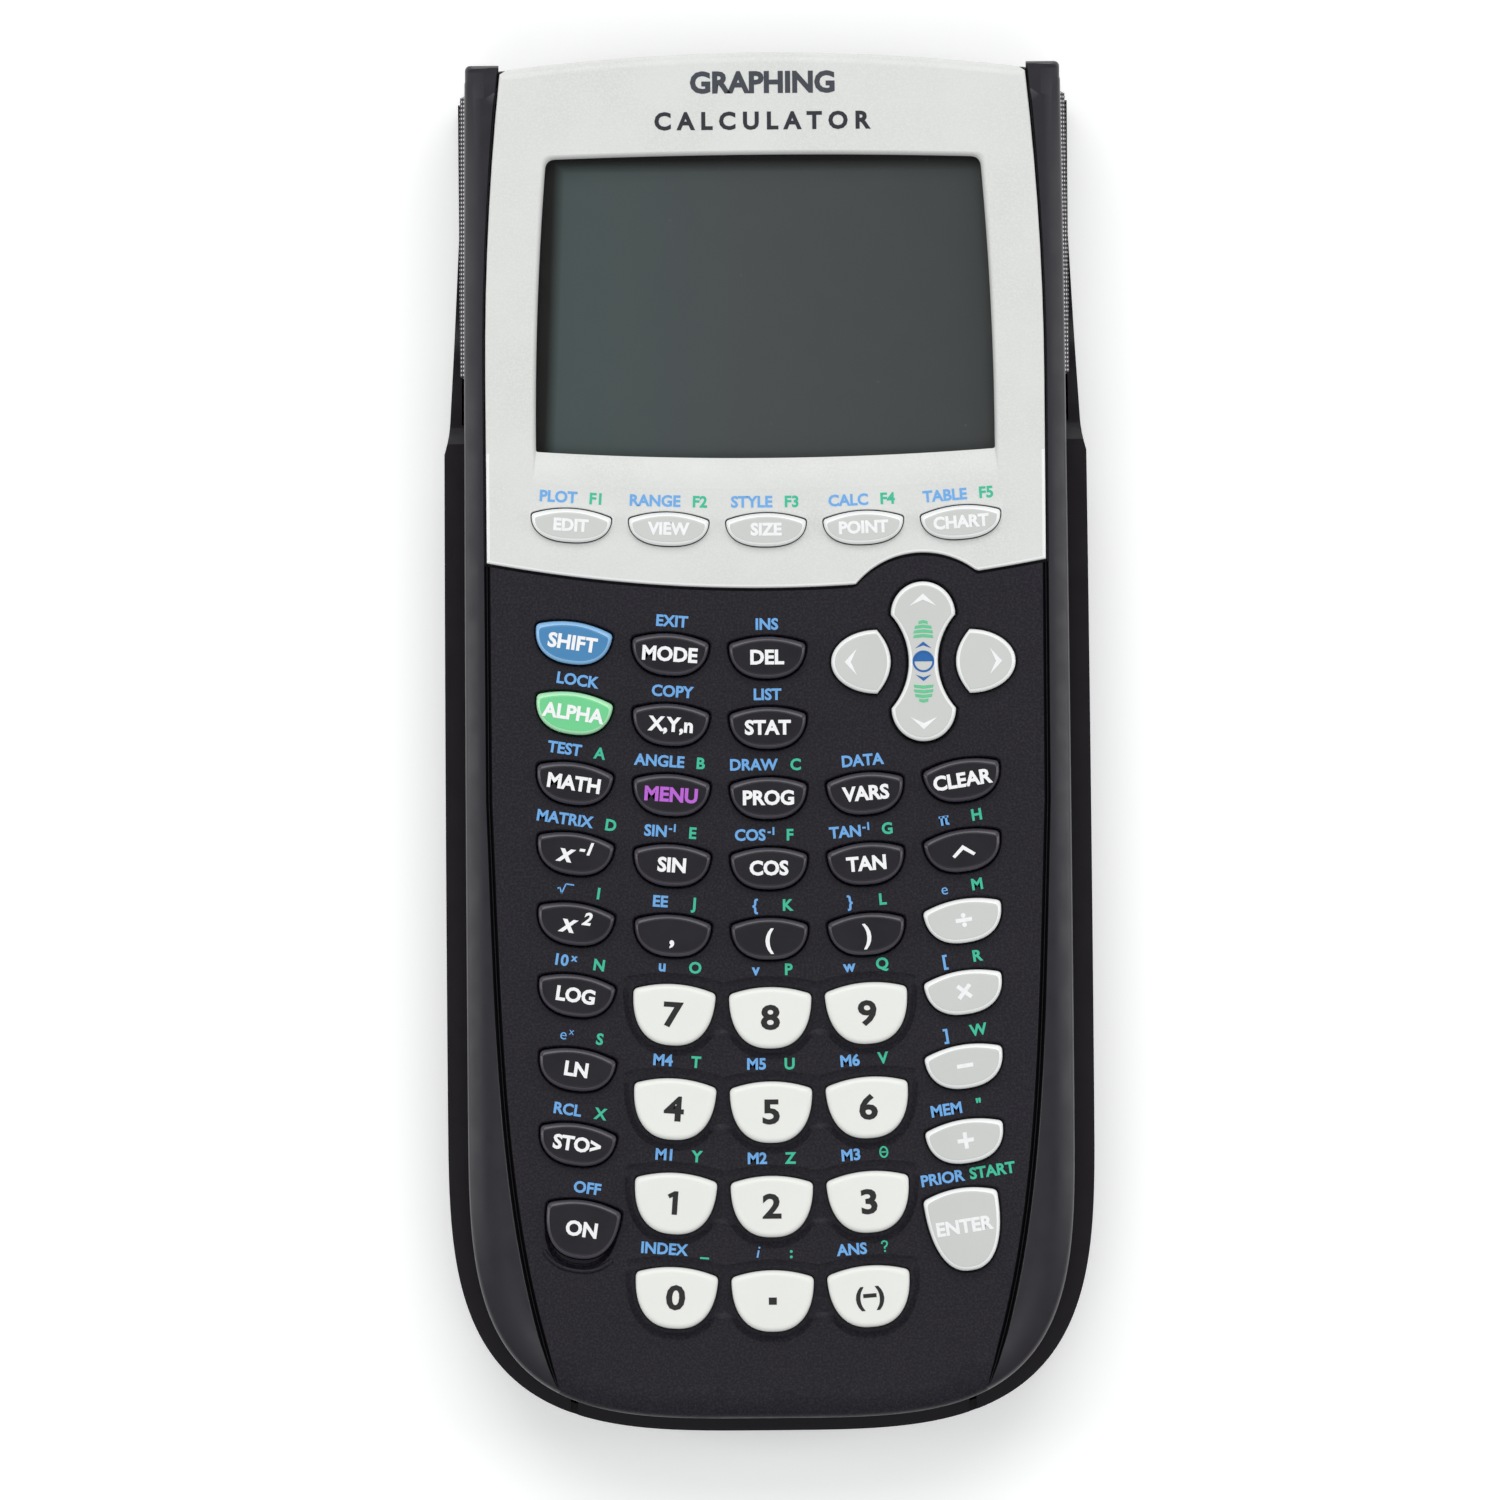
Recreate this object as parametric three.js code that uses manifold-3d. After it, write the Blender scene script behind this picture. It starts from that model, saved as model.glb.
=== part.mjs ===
// A handheld graphing calculator lying on its back, with its protective slide cover stored on the rear.
// Millimetres. X runs to the right, Y towards the display end and Z out of the display.
// The origin is the centre of the overall box, on the surface that the slide cover lies on.
import * as THREE from "three";
import { mergeVertices } from "three/addons/utils/BufferGeometryUtils.js";
import Module from "manifold-3d";

const wasm = await Module();
wasm.setup();

// ---------------------------------------------------------------- driving dimensions

const HALF_LENGTH = 95; // half of the overall length
const BODY_HALF_WIDTH = 41.8;
const BODY_BOTTOM = -93.2; // lower end of the calculator inside its cover
const BELLY_Y = -50; // below this height the sides round into the lower end
const BODY_SQUARENESS = 3.7; // of the rounded lower end: 2 is an ellipse
const TOP_RADIUS = 286; // the display end is a shallow arc
const TAPER = 0.8; // how far the sides have drawn in at the display end

const COVER_HALF_WIDTH = 44.6;
const COVER_SQUARENESS = 3.5;
const COVER_TOP_Y = 88.4;
const COVER_FLOOR = 1.8;
const COVER_LIP_Z = [14.0, 15.2]; // the lip that runs in the housing's side groove
const COVER_LOW_WALL_Z = 4; // wall height beside the finger grips
const COVER_NARROW_HALF = 42.1; // half width beside the finger grips
const COVER_FLARE = { y: [40, 44.5, 70], rate: 0.053, shoulder: 0.6 }; // how it widens below the grips
const COVER_CLEARANCE = 0.4;

const REAR_Z = [2.2, 13.0];
const FRONT_Z = [13.2, 23.4];
const WALL = 1.8;
const FRONT_LEDGE_Z = 19; // above this height the front housing's wall is thicker
const PANEL_UNDERSIDE_Z = 21.3;
const GUIDE_GROOVE_Z = [13.6, 15.6];
const GUIDE_GROOVE_DEPTH = 1.1;
const GRIP = { half: 42.1, y: [50, 90], z: [8.6, 12.8] };
const RAIL_GROOVE = { half: 0.35, depth: 0.7, y: [-90, 92] }; // parts the side rails from the panel
const RAIL_END = { y: [89, 93.5], z: [16, 22.8], outer: 40.9, corner: 0.6 }; // the rails stand proud here
const BOSS_RADIUS = 2.4;
const BOSSES = [[37.2, 70], [37.2, 0], [30, -80]]; // screw bosses on one side

const FACEPLATE_Z = [22.5, 24.0];
const FACEPLATE_LIP = 2.0; // the faceplate folds down over the display end by this thickness
const FACEPLATE_LIP_BOTTOM = 19.2;
const FACEPLATE_GAP = 0.3;
const SMILE_RADIUS = 200; // the faceplate's lower edge
const SMILE_LOWEST_Y = 21.2;

const DISPLAY_TOP_Y = 80.4;
const DISPLAY_BOTTOM_Y = 40.2;
const DISPLAY_TOP_HALF = 29.9;
const DISPLAY_BOTTOM_HALF = 31.6;

const BOARD_Z = [15.8, 17.4];
const SHEET_Z = [17.6, 18.3];
const KEY_BOTTOM_Z = 19.5;
const FLANGE_TOP_Z = 20.9;
const ROCKER_BOTTOM_Z = 19.2;
const ROCKER_FLANGE_TOP_Z = 20.2;
const DOME_GAP = 0.1;

const COLUMN_PITCH = 13.45;
const ROW_PITCH = 9.68;
const TOP_ROW_Y = 11.6;
const NUMBER_ROW_PITCH = 13;
const TOP_NUMBER_ROW_Y = -38;
const FUNCTION_ROW_Y = 29.2;
const SIDE_ROWS_Y = [-34.8, -45, -55.3]; // outer columns beside the number keys
const ARROW_PAD = new THREE.Vector2(21.5, 10.9);
const ARROW_DOME = { y: 13.9, radius: 12 }; // the faceplate's round bite above the arrow keys
const ARROW_KEY_OFFSET = 8.6;
const KEY_CLEARANCE = 0.3;
const KEY_FLANGE = 0.7;

const CELL_RADIUS = 5.25; // AAA
const CELL_LENGTH = 43.7;
const CELL_NUB = 0.8;
const CELL_PITCH = 10.4; // the four cells touch, and share a sliver so that they make one body
const CELL_AXIS_Z = 9.6;
const BAY_CENTRE_Y = 46;
const BAY_TOP_Z = 15.1;
const BACKUP_CELL = { x: 31.6, y: 30, radius: 5.8, z: [5.6, 11] };
const DOOR = { width: 47.4, length: 51.4, thickness: 1.6, gap: 0.3 };

// ---------------------------------------------------------------- solids

// A manifold solid of a closed three.js geometry.
function solidOf(geometry) {
  const plain = geometry.index ? geometry.toNonIndexed() : geometry;
  const bare = new THREE.BufferGeometry().setAttribute("position", plain.getAttribute("position"));
  const merged = mergeVertices(bare, 1e-4);
  return new wasm.Manifold(
    new wasm.Mesh({
      numProp: 3,
      vertProperties: merged.attributes.position.array,
      triVerts: new Uint32Array(merged.index.array),
    }),
  );
}

// A three.js geometry of a manifold solid.
function geometryOf(solid) {
  const mesh = solid.getMesh();
  return new THREE.BufferGeometry()
    .setAttribute("position", new THREE.BufferAttribute(new Float32Array(mesh.vertProperties), 3))
    .setIndex(new THREE.BufferAttribute(new Uint32Array(mesh.triVerts), 1));
}

const join = (first, ...others) => others.reduce((all, one) => all.add(one), first);
const cut = (first, ...others) => others.reduce((all, one) => all.subtract(one), first);

// An upright prism on an outline, from the lower height to the upper one.
function prism(points, [low, high]) {
  const shape = new THREE.Shape(points);
  const geometry = new THREE.ExtrudeGeometry(shape, { depth: high - low, bevelEnabled: false });
  return solidOf(geometry.translate(0, 0, low));
}

function box([x0, x1], [y0, y1], [z0, z1]) {
  const geometry = new THREE.BoxGeometry(x1 - x0, y1 - y0, z1 - z0);
  return solidOf(geometry.translate((x0 + x1) / 2, (y0 + y1) / 2, (z0 + z1) / 2));
}

// A cylinder that stands on the XY plane, from the lower height to the upper one.
function post(x, y, [low, high], radius, topRadius = radius, sides = 16) {
  const geometry = new THREE.CylinderGeometry(topRadius, radius, high - low, sides);
  return solidOf(geometry.rotateX(Math.PI / 2).translate(x, y, (low + high) / 2));
}

// A solid through a stack of convex rings that all have the same number of points, the lowest first.
function loft(rings) {
  const count = rings[0].points.length;
  const positions = rings.flatMap(({ points, z }) => points.flatMap((p) => [p.x, p.y, z]));
  const index = [];
  for (let i = 1; i < count - 1; i++) {
    const lid = (rings.length - 1) * count;
    index.push(0, i + 1, i);
    index.push(lid, lid + i, lid + i + 1);
  }
  for (let ring = 0; ring < rings.length - 1; ring++) {
    for (let i = 0; i < count; i++) {
      const here = ring * count + i;
      const next = ring * count + ((i + 1) % count);
      index.push(here, next, next + count);
      index.push(here, next + count, here + count);
    }
  }
  const geometry = new THREE.BufferGeometry().setIndex(index);
  return solidOf(geometry.setAttribute("position", new THREE.Float32BufferAttribute(positions, 3)));
}

// An upright solid whose upper or lower rim is rounded in by the inset, over the height of the rounding.
function roundedPrism(outlineAt, [low, high], { inset, height, upper }) {
  const steps = 3;
  const rim = [];
  for (let i = 0; i <= steps; i++) {
    const angle = (Math.PI / 2) * (i / steps);
    const drop = height * (1 - Math.sin(angle));
    const points = outlineAt(-inset * (1 - Math.cos(angle)));
    rim.push({ points, z: upper ? high - drop : low + drop });
  }
  const square = { points: outlineAt(0), z: upper ? low : high };
  return loft(upper ? [square, ...rim] : [...rim.reverse(), square]);
}

// ---------------------------------------------------------------- outlines

const turned = (points, angle, centre) =>
  points.map((p) => p.clone().rotateAround(new THREE.Vector2(), angle).add(centre));

const topArc = (x, grow = 0) => HALF_LENGTH + grow - (x * x) / (2 * TOP_RADIUS);

// How far the sides have drawn in at y.
const taperAt = (y) => TAPER * (Math.max(0, y - BELLY_Y) / (HALF_LENGTH - BELLY_Y)) ** 2;

// The convex plan of the body or the cover: rounded lower end, slightly bowed sides, arched or flat top.
function planOutline({ halfWidth, bottom, squareness, flatTop }, grow = 0) {
  const a = halfWidth + grow;
  const b = BELLY_Y - bottom + grow;
  const power = 2 / squareness;
  const points = [];
  const endSteps = 20;
  for (let i = 0; i <= endSteps; i++) {
    const angle = Math.PI * (1 + i / endSteps);
    const c = Math.cos(angle);
    const x = a * Math.sign(c) * Math.abs(c) ** power;
    points.push(new THREE.Vector2(x, BELLY_Y - b * Math.abs(Math.sin(angle)) ** power));
  }
  const cornerCut = 1;
  const sideTop = flatTop ?? topArc(a, grow) - cornerCut;
  const right = [-10, 30, 62, sideTop].map((y) => new THREE.Vector2(a - taperAt(y), y));
  const left = right.map((p) => new THREE.Vector2(-p.x, p.y)).reverse();
  const topHalf = a - taperAt(sideTop) - cornerCut;
  const top = flatTop ? [] : topPoints(topHalf, grow);
  return [...points, ...right, ...top, ...left];
}

// Points along the arched display end, from right to left.
function topPoints(half, grow) {
  const steps = 8;
  const points = [];
  for (let i = 0; i <= steps; i++) {
    const x = half * (1 - (2 * i) / steps);
    points.push(new THREE.Vector2(x, topArc(x, grow)));
  }
  return points;
}

const BODY = { halfWidth: BODY_HALF_WIDTH, bottom: BODY_BOTTOM, squareness: BODY_SQUARENESS };
const COVER = {
  halfWidth: COVER_HALF_WIDTH,
  bottom: -HALF_LENGTH,
  squareness: COVER_SQUARENESS,
  flatTop: COVER_TOP_Y,
};
const bodyOutline = (grow) => planOutline(BODY, grow);
const coverOutline = (grow) => planOutline(COVER, grow);

// Half the width between the two long grooves that part the side rails from the panel.
function panelHalfAt(y) {
  const drawnIn = Math.max(0, y - 50) / 43;
  const narrowed = Math.max(0, -8 - y) / 82;
  return 38.5 - 2.4 * drawnIn ** 2 - 2.6 * narrowed - 6.6 * narrowed ** 4;
}

// The faceplate's lower edge at x: a smile with a round bite for the dome of the arrow pad.
function smileAt(x) {
  const smile = SMILE_LOWEST_Y + (x * x) / (2 * SMILE_RADIUS);
  const across = Math.abs(x - ARROW_PAD.x);
  if (across >= ARROW_DOME.radius) return smile;
  return Math.max(smile, ARROW_DOME.y + Math.sqrt(ARROW_DOME.radius ** 2 - across ** 2));
}

function faceplateOutline(grow) {
  const points = [];
  const lowerSteps = 36;
  const lowHalf = panelHalfAt(25) + grow;
  for (let i = 0; i <= lowerSteps; i++) {
    const x = -lowHalf + (2 * lowHalf * i) / lowerSteps;
    points.push(new THREE.Vector2(x, smileAt(x) - grow));
  }
  const sideTop = 92.2;
  const right = [50, 62, 76, sideTop].map((y) => new THREE.Vector2(panelHalfAt(y) + grow, y));
  const left = right.map((p) => new THREE.Vector2(-p.x, p.y)).reverse();
  return [...points, ...right, ...topPoints(panelHalfAt(sideTop) + grow - 1, grow), ...left];
}

// The opening over the display: four slightly bowed sides.
function displayOutline(grow = 0) {
  const top = DISPLAY_TOP_Y + grow;
  const bottom = DISPLAY_BOTTOM_Y - grow;
  const shape = new THREE.Shape();
  shape.moveTo(-DISPLAY_BOTTOM_HALF - grow, bottom);
  shape.quadraticCurveTo(0, bottom - 2.2, DISPLAY_BOTTOM_HALF + grow, bottom);
  shape.quadraticCurveTo(DISPLAY_BOTTOM_HALF + 0.6 + grow, 62, DISPLAY_TOP_HALF + grow, top);
  shape.quadraticCurveTo(0, top + 1, -DISPLAY_TOP_HALF - grow, top);
  shape.quadraticCurveTo(-DISPLAY_BOTTOM_HALF - 0.6 - grow, 62, -DISPLAY_BOTTOM_HALF - grow, bottom);
  return shape.getPoints(5).slice(0, -1);
}

// A key's plan: a shallow arc across the top and a deep round belly below.
const KEY_CROWN = 1;
const KEY_EXPONENT = 2.4;
function keyOutline({ width, height }, grow = 0) {
  const a = width / 2 + grow;
  const corner = height / 2 - KEY_CROWN + grow;
  const depth = corner + height / 2 + grow;
  const points = [];
  const bellySteps = 6;
  for (let i = 0; i <= bellySteps; i++) {
    const angle = (Math.PI * i) / bellySteps;
    const c = Math.cos(angle);
    const across = Math.sign(c) * Math.abs(c) ** (2 / KEY_EXPONENT);
    const down = Math.abs(Math.sin(angle)) ** (2 / KEY_EXPONENT);
    points.push(new THREE.Vector2(a * across, corner - depth * down));
  }
  for (const share of [-0.5, 0, 0.5]) {
    points.push(new THREE.Vector2(a * share, corner + KEY_CROWN * (1 - share * share)));
  }
  return points;
}

// The plan of a left (-1) or right (1) arrow key: a half ellipse outside and a shallow arc beside the rocker.
const ARROW_KEY = { outer: 6.3, inner: 1.9, half: 4.4 };
function arrowOutline(side, grow = 0) {
  const half = ARROW_KEY.half + grow;
  const middle = (ARROW_KEY.outer - ARROW_KEY.inner) / 2;
  const points = [];
  const steps = 6;
  for (let i = 0; i <= steps; i++) {
    const angle = Math.PI * (i / steps - 0.5);
    const x = (ARROW_KEY.outer + grow) * Math.cos(angle) - middle;
    points.push(new THREE.Vector2(x, half * Math.sin(angle)));
  }
  for (const share of [0.5, 0, -0.5]) {
    const x = -(ARROW_KEY.inner + grow) * (1 - share * share) - middle;
    points.push(new THREE.Vector2(x, half * share));
  }
  return side > 0 ? points : points.map((p) => new THREE.Vector2(-p.x, p.y)).reverse();
}

// The up and down key's plan: two round lobes joined by a waist between concave arcs.
const ROCKER = { half: 11, lobe: 4.43, shoulder: 6.45, waist: 2, waistRadius: 9.8 };
function rockerOutline(grow = 0) {
  const { half, lobe, shoulder, waist, waistRadius } = ROCKER;
  const quarter = [];
  const lobeSteps = 4;
  for (let i = 0; i < lobeSteps; i++) {
    const angle = (Math.PI / 2) * (1 - i / lobeSteps);
    const up = (half - shoulder + grow) * Math.sin(angle);
    quarter.push(new THREE.Vector2((lobe + grow) * Math.cos(angle), shoulder + up));
  }
  for (const y of [shoulder, 4.2, 2.1]) {
    const hollow = waistRadius - Math.sqrt(waistRadius ** 2 - y ** 2);
    quarter.push(new THREE.Vector2(waist + hollow + grow, y));
  }
  const lower = quarter.map((p) => new THREE.Vector2(p.x, -p.y)).reverse();
  const middle = new THREE.Vector2(waist + grow, 0);
  const right = [...quarter, middle, ...lower];
  const left = right.slice(1, -1).map((p) => new THREE.Vector2(-p.x, p.y));
  return [...right, ...left.reverse()].reverse();
}

// ---------------------------------------------------------------- colours

const finish = (color, roughness = 0.5, metalness = 0) =>
  new THREE.MeshStandardMaterial({ color, roughness, metalness });

const DARK_SHELL = finish(0x2a2730, 0.45);
const COVER_PLASTIC = finish(0x2a252c, 0.35);
const PALE_SHELL = finish(0xdcdcda, 0.5);
const DARK_KEY = finish(0x2c2830, 0.4);
const PALE_KEY = finish(0xd4d5d2, 0.4);
const NUMBER_KEY = finish(0xf0f0eb, 0.4);
const BLUE_KEY = finish(0x4a8cc4, 0.4);
const GREEN_KEY = finish(0x6cc98a, 0.4);
const WINDOW = finish(0x9aa5a5, 0.05);
const LCD = finish(0x4f5553, 0.3);
const BOARD = finish(0x1f6b3a, 0.5);
const RUBBER = finish(0x8f9496, 0.8);
const CELL_JACKET = finish(0x3a3f45, 0.3, 0.6);
const STEEL = finish(0xc8c8c8, 0.25, 1);

// ---------------------------------------------------------------- keys

const FORMS = {
  small: { width: 10.6, height: 5.8, top: 25.0 },
  operator: { width: 10.8, height: 6.0, top: 25.2 },
  number: { width: 11.35, height: 8.45, top: 25.6 },
  function: { width: 11.0, height: 4.6, top: 25.3 },
  on: { width: 10.3, height: 8.1, top: 25.0 },
  enter: { width: 10.3, height: 11.4, top: 25.3 },
  left: { outline: (grow) => arrowOutline(-1, grow), top: 25.2 },
  right: { outline: (grow) => arrowOutline(1, grow), top: 25.2 },
  rocker: { outline: rockerOutline, top: 25.2, clearance: 0.35 },
};

const KEY_SMILE = 0.003; // rise of a row, per millimetre squared from the middle column
const FUNCTION_SMILE = 0.00115;
const KEY_TILT = THREE.MathUtils.degToRad(0.33); // turn of a key, per millimetre from the middle column
const FUNCTION_TILT = THREE.MathUtils.degToRad(0.15);

const keys = [];

function addKey(name, form, x, y, material, tilt = KEY_TILT * x) {
  keys.push({ name, form: FORMS[form], centre: new THREE.Vector2(x, y), tilt, material });
}

// A row of keys along the smile, from a starting column; column 0 is the middle one.
function addRow(y, form, firstColumn, names, material = DARK_KEY) {
  names.forEach((name, i) => {
    const x = (firstColumn + i) * COLUMN_PITCH;
    const isFunction = form === "function";
    const rise = (isFunction ? FUNCTION_SMILE : KEY_SMILE) * x * x;
    addKey(name, form, x, y + rise, material, (isFunction ? FUNCTION_TILT : KEY_TILT) * x);
  });
}

addRow(FUNCTION_ROW_Y, "function", -2, ["key_f1", "key_f2", "key_f3", "key_f4", "key_f5"], PALE_KEY);
const rowY = (row) => TOP_ROW_Y - row * ROW_PITCH;
addRow(rowY(0), "small", -2, ["key_shift"], BLUE_KEY);
addRow(rowY(0), "small", -1, ["key_mode", "key_delete"]);
addRow(rowY(1), "small", -2, ["key_alpha"], GREEN_KEY);
addRow(rowY(1), "small", -1, ["key_variable", "key_stats"]);
addRow(rowY(2), "small", -2, ["key_math", "key_apps", "key_program", "key_vars", "key_clear"]);
addRow(rowY(3), "small", -2, ["key_reciprocal", "key_sin", "key_cos", "key_tan", "key_power"]);
addRow(rowY(4), "small", -2, ["key_square", "key_comma", "key_open_bracket", "key_close_bracket"]);
addRow(rowY(4), "operator", 2, ["key_divide"], PALE_KEY);
[
  ["key_7", "key_8", "key_9"],
  ["key_4", "key_5", "key_6"],
  ["key_1", "key_2", "key_3"],
  ["key_0", "key_point", "key_negative"],
].forEach((names, row) => {
  addRow(TOP_NUMBER_ROW_Y - row * NUMBER_ROW_PITCH, "number", -1, names, NUMBER_KEY);
});
const sideX = 2 * COLUMN_PITCH;
["key_log", "key_ln", "key_store"].forEach((name, row) => {
  addKey(name, "small", -sideX, SIDE_ROWS_Y[row], DARK_KEY);
});
["key_multiply", "key_minus", "key_plus"].forEach((name, row) => {
  addKey(name, "operator", sideX, SIDE_ROWS_Y[row], PALE_KEY);
});
addKey("key_on", "on", -26.4, -67, DARK_KEY);
addKey("key_enter", "enter", 26.7, -67.4, PALE_KEY);
addKey("key_left", "left", ARROW_PAD.x - ARROW_KEY_OFFSET, ARROW_PAD.y, PALE_KEY, 0);
addKey("key_right", "right", ARROW_PAD.x + ARROW_KEY_OFFSET, ARROW_PAD.y, PALE_KEY, 0);
addKey("key_up_down", "rocker", ARROW_PAD.x, ARROW_PAD.y, PALE_KEY, 0);

function keyPlan(key, grow) {
  const plan = key.form.outline ? key.form.outline(grow) : keyOutline(key.form, grow);
  return turned(plan, key.tilt, key.centre);
}

const isRocker = (key) => key.form === FORMS.rocker;

// A key cap with the flange that keeps it behind the panel.
function keySolid(key) {
  const bottom = isRocker(key) ? ROCKER_BOTTOM_Z : KEY_BOTTOM_Z;
  const flangeTop = isRocker(key) ? ROCKER_FLANGE_TOP_Z : FLANGE_TOP_Z;
  const cap = prism(keyPlan(key, 0), [bottom, key.form.top]);
  const flange = prism(keyPlan(key, KEY_FLANGE), [bottom, flangeTop]);
  return join(cap, flange);
}

const ABOVE_ALL = 30;
const holeZ = [PANEL_UNDERSIDE_Z - 1, ABOVE_ALL];
const keyHole = (key) => prism(keyPlan(key, key.form.clearance ?? KEY_CLEARANCE), holeZ);

// ---------------------------------------------------------------- display end ports

const USB_PORT = { x: 14, half: 3.9, z: [17.4, 21.2] };
const LINK_JACK = { x: -14, radius: 2.3, z: 19.5 };
const PORT_Y = [84.5, 93.6];
const PORT_GAP = 0.3;
const BEYOND_END = 100;

// A cylinder along Y on the axis of the link jack.
function alongJack([near, far], radius) {
  const sides = 16;
  const geometry = new THREE.CylinderGeometry(radius, radius, far - near, sides);
  return solidOf(geometry.translate(LINK_JACK.x, (near + far) / 2, LINK_JACK.z));
}

// A box round the USB socket, larger than it by the margin.
function aroundUsb(y, margin) {
  const half = USB_PORT.half + margin;
  const z = [USB_PORT.z[0] - margin, USB_PORT.z[1] + margin];
  return box([USB_PORT.x - half, USB_PORT.x + half], y, z);
}

// ---------------------------------------------------------------- shells

const wide = [-60, 60]; // wider than the object

// The part of the faceplate, or of its seat, that folds down over the display end.
function foldedEnd(grow, thickness, z) {
  const whole = prism(faceplateOutline(grow), z);
  const inside = prism(bodyOutline(-thickness), [z[0] - 1, z[1] + 1]);
  return cut(whole, inside, box(wide, [-100, 80], [0, ABOVE_ALL]));
}

// The long groove on one side, between a side rail and the panel.
function railGroove(side) {
  const { half, depth, y } = RAIL_GROOVE;
  const steps = 16;
  const edge = (offset) =>
    Array.from({ length: steps + 1 }, (_, i) => {
      const height = y[0] + ((y[1] - y[0]) * i) / steps;
      return new THREE.Vector2(side * (panelHalfAt(height) + offset), height);
    });
  return prism([...edge(half), ...edge(-half).reverse()], [FRONT_Z[1] - depth, ABOVE_ALL]);
}

// The square end of a side rail, which reaches past the arch of the faceplate.
function railEnd(side) {
  const { y, z, outer, corner } = RAIL_END;
  const inner = panelHalfAt(y[1]) + FACEPLATE_GAP;
  const cornerPoints = [[outer, y[1] - corner], [outer - corner, y[1]]];
  const plan = [[inner, y[0]], [outer, y[0]], ...cornerPoints, [inner, y[1]]];
  return prism(plan.map(([x, height]) => new THREE.Vector2(side * x, height)), z);
}

function bossPosts(z, radius) {
  return [-1, 1].flatMap((side) => BOSSES.map(([x, y]) => post(side * x, y, z, radius)));
}

function frontHousing() {
  const shell = roundedPrism(bodyOutline, FRONT_Z, { inset: 3, height: 3.2, upper: true });
  const lowerHollow = prism(bodyOutline(-2.4), [FRONT_Z[0] - 1, FRONT_LEDGE_Z]);
  const upperHollow = prism(bodyOutline(-3.8), [FRONT_LEDGE_Z - 1, PANEL_UNDERSIDE_Z]);
  const guideCore = prism(bodyOutline(-GUIDE_GROOVE_DEPTH), GUIDE_GROOVE_Z);
  const guide = cut(prism(bodyOutline(2), GUIDE_GROOVE_Z), guideCore);
  const hollow = cut(join(shell, railEnd(-1), railEnd(1)), lowerHollow, upperHollow, guide);
  const bosses = bossPosts([FRONT_Z[0] + 0.1, PANEL_UNDERSIDE_Z + 0.2], BOSS_RADIUS);
  const seat = prism(faceplateOutline(FACEPLATE_GAP), [FACEPLATE_Z[0] - 0.1, ABOVE_ALL]);
  const lipSeatZ = [FACEPLATE_LIP_BOTTOM - FACEPLATE_GAP, ABOVE_ALL];
  const lipSeat = foldedEnd(FACEPLATE_GAP, FACEPLATE_LIP + FACEPLATE_GAP, lipSeatZ);
  const displayHole = prism(displayOutline(2), holeZ);
  const ports = [aroundUsb([PORT_Y[0], BEYOND_END], PORT_GAP)];
  ports.push(alongJack([PORT_Y[0], BEYOND_END], LINK_JACK.radius + PORT_GAP));
  const grooves = [-1, 1].map(railGroove);
  const holes = keys.map(keyHole);
  return cut(join(hollow, ...bosses), seat, lipSeat, displayHole, ...ports, ...grooves, ...holes);
}

function faceplate() {
  const edge = { inset: 1.2, height: 1.2, upper: true };
  const rounded = roundedPrism(bodyOutline, [FACEPLATE_LIP_BOTTOM - 1, FACEPLATE_Z[1]], edge);
  const plate = prism(faceplateOutline(0), FACEPLATE_Z);
  const lip = foldedEnd(0, FACEPLATE_LIP, [FACEPLATE_LIP_BOTTOM, FACEPLATE_Z[1]]);
  const usbRelief = aroundUsb([90, BEYOND_END], 1);
  const jackRelief = alongJack([90, BEYOND_END], LINK_JACK.radius + 1.2);
  const displayHole = prism(displayOutline(), holeZ);
  const holes = keys.filter((key) => key.form === FORMS.function).map(keyHole);
  return cut(join(plate, lip).intersect(rounded), displayHole, usbRelief, jackRelief, ...holes);
}

// The battery bay, larger by the margin.
function bayBlock(margin, z) {
  const halfX = DOOR.width / 2 + DOOR.gap + margin;
  const halfY = DOOR.length / 2 + DOOR.gap + margin;
  return box([-halfX, halfX], [BAY_CENTRE_Y - halfY, BAY_CENTRE_Y + halfY], z);
}

const aroundBackupCell = (z, margin) =>
  post(BACKUP_CELL.x, BACKUP_CELL.y, z, BACKUP_CELL.radius + margin);

function rearHousing() {
  const outlineAt = (grow) => bodyOutline(grow - COVER_CLEARANCE);
  const insideAt = (grow) => outlineAt(grow - WALL);
  const floorTop = REAR_Z[0] + WALL;
  const shell = roundedPrism(outlineAt, REAR_Z, { inset: 5, height: 6, upper: false });
  const hollow = roundedPrism(insideAt, [floorTop, REAR_Z[1] + 1], { inset: 5, height: 5, upper: false });
  const gripInside = GRIP.half - 2.4;
  const grips = [
    box([-GRIP.half, -gripInside], GRIP.y, GRIP.z),
    box([gripInside, GRIP.half], GRIP.y, GRIP.z),
  ];
  const bayWalls = bayBlock(1.2, [REAR_Z[0] + 0.5, BAY_TOP_Z + 0.5]);
  const bay = bayBlock(0, [REAR_Z[0] - 1, BAY_TOP_Z]);
  const posts = bossPosts([floorTop - 0.3, REAR_Z[1]], BOSS_RADIUS);
  const cupRing = aroundBackupCell([floorTop - 0.5, 8], 1.3);
  const cup = cut(cupRing, aroundBackupCell([BACKUP_CELL.z[0] - 0.3, 9], 0.3));
  return cut(join(cut(shell, hollow), ...grips, ...posts, bayWalls, cup), bay);
}

function batteryDoor() {
  const { width, length, thickness } = DOOR;
  const z = [REAR_Z[0], REAR_Z[0] + thickness];
  const plate = box([-width / 2, width / 2], [BAY_CENTRE_Y - length / 2, BAY_CENTRE_Y + length / 2], z);
  const latchY = BAY_CENTRE_Y + length / 2 - 5;
  return cut(plate, box([-6, 6], [latchY - 2.5, latchY + 2.5], [z[0] - 1, z[0] + 0.7]));
}

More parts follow.
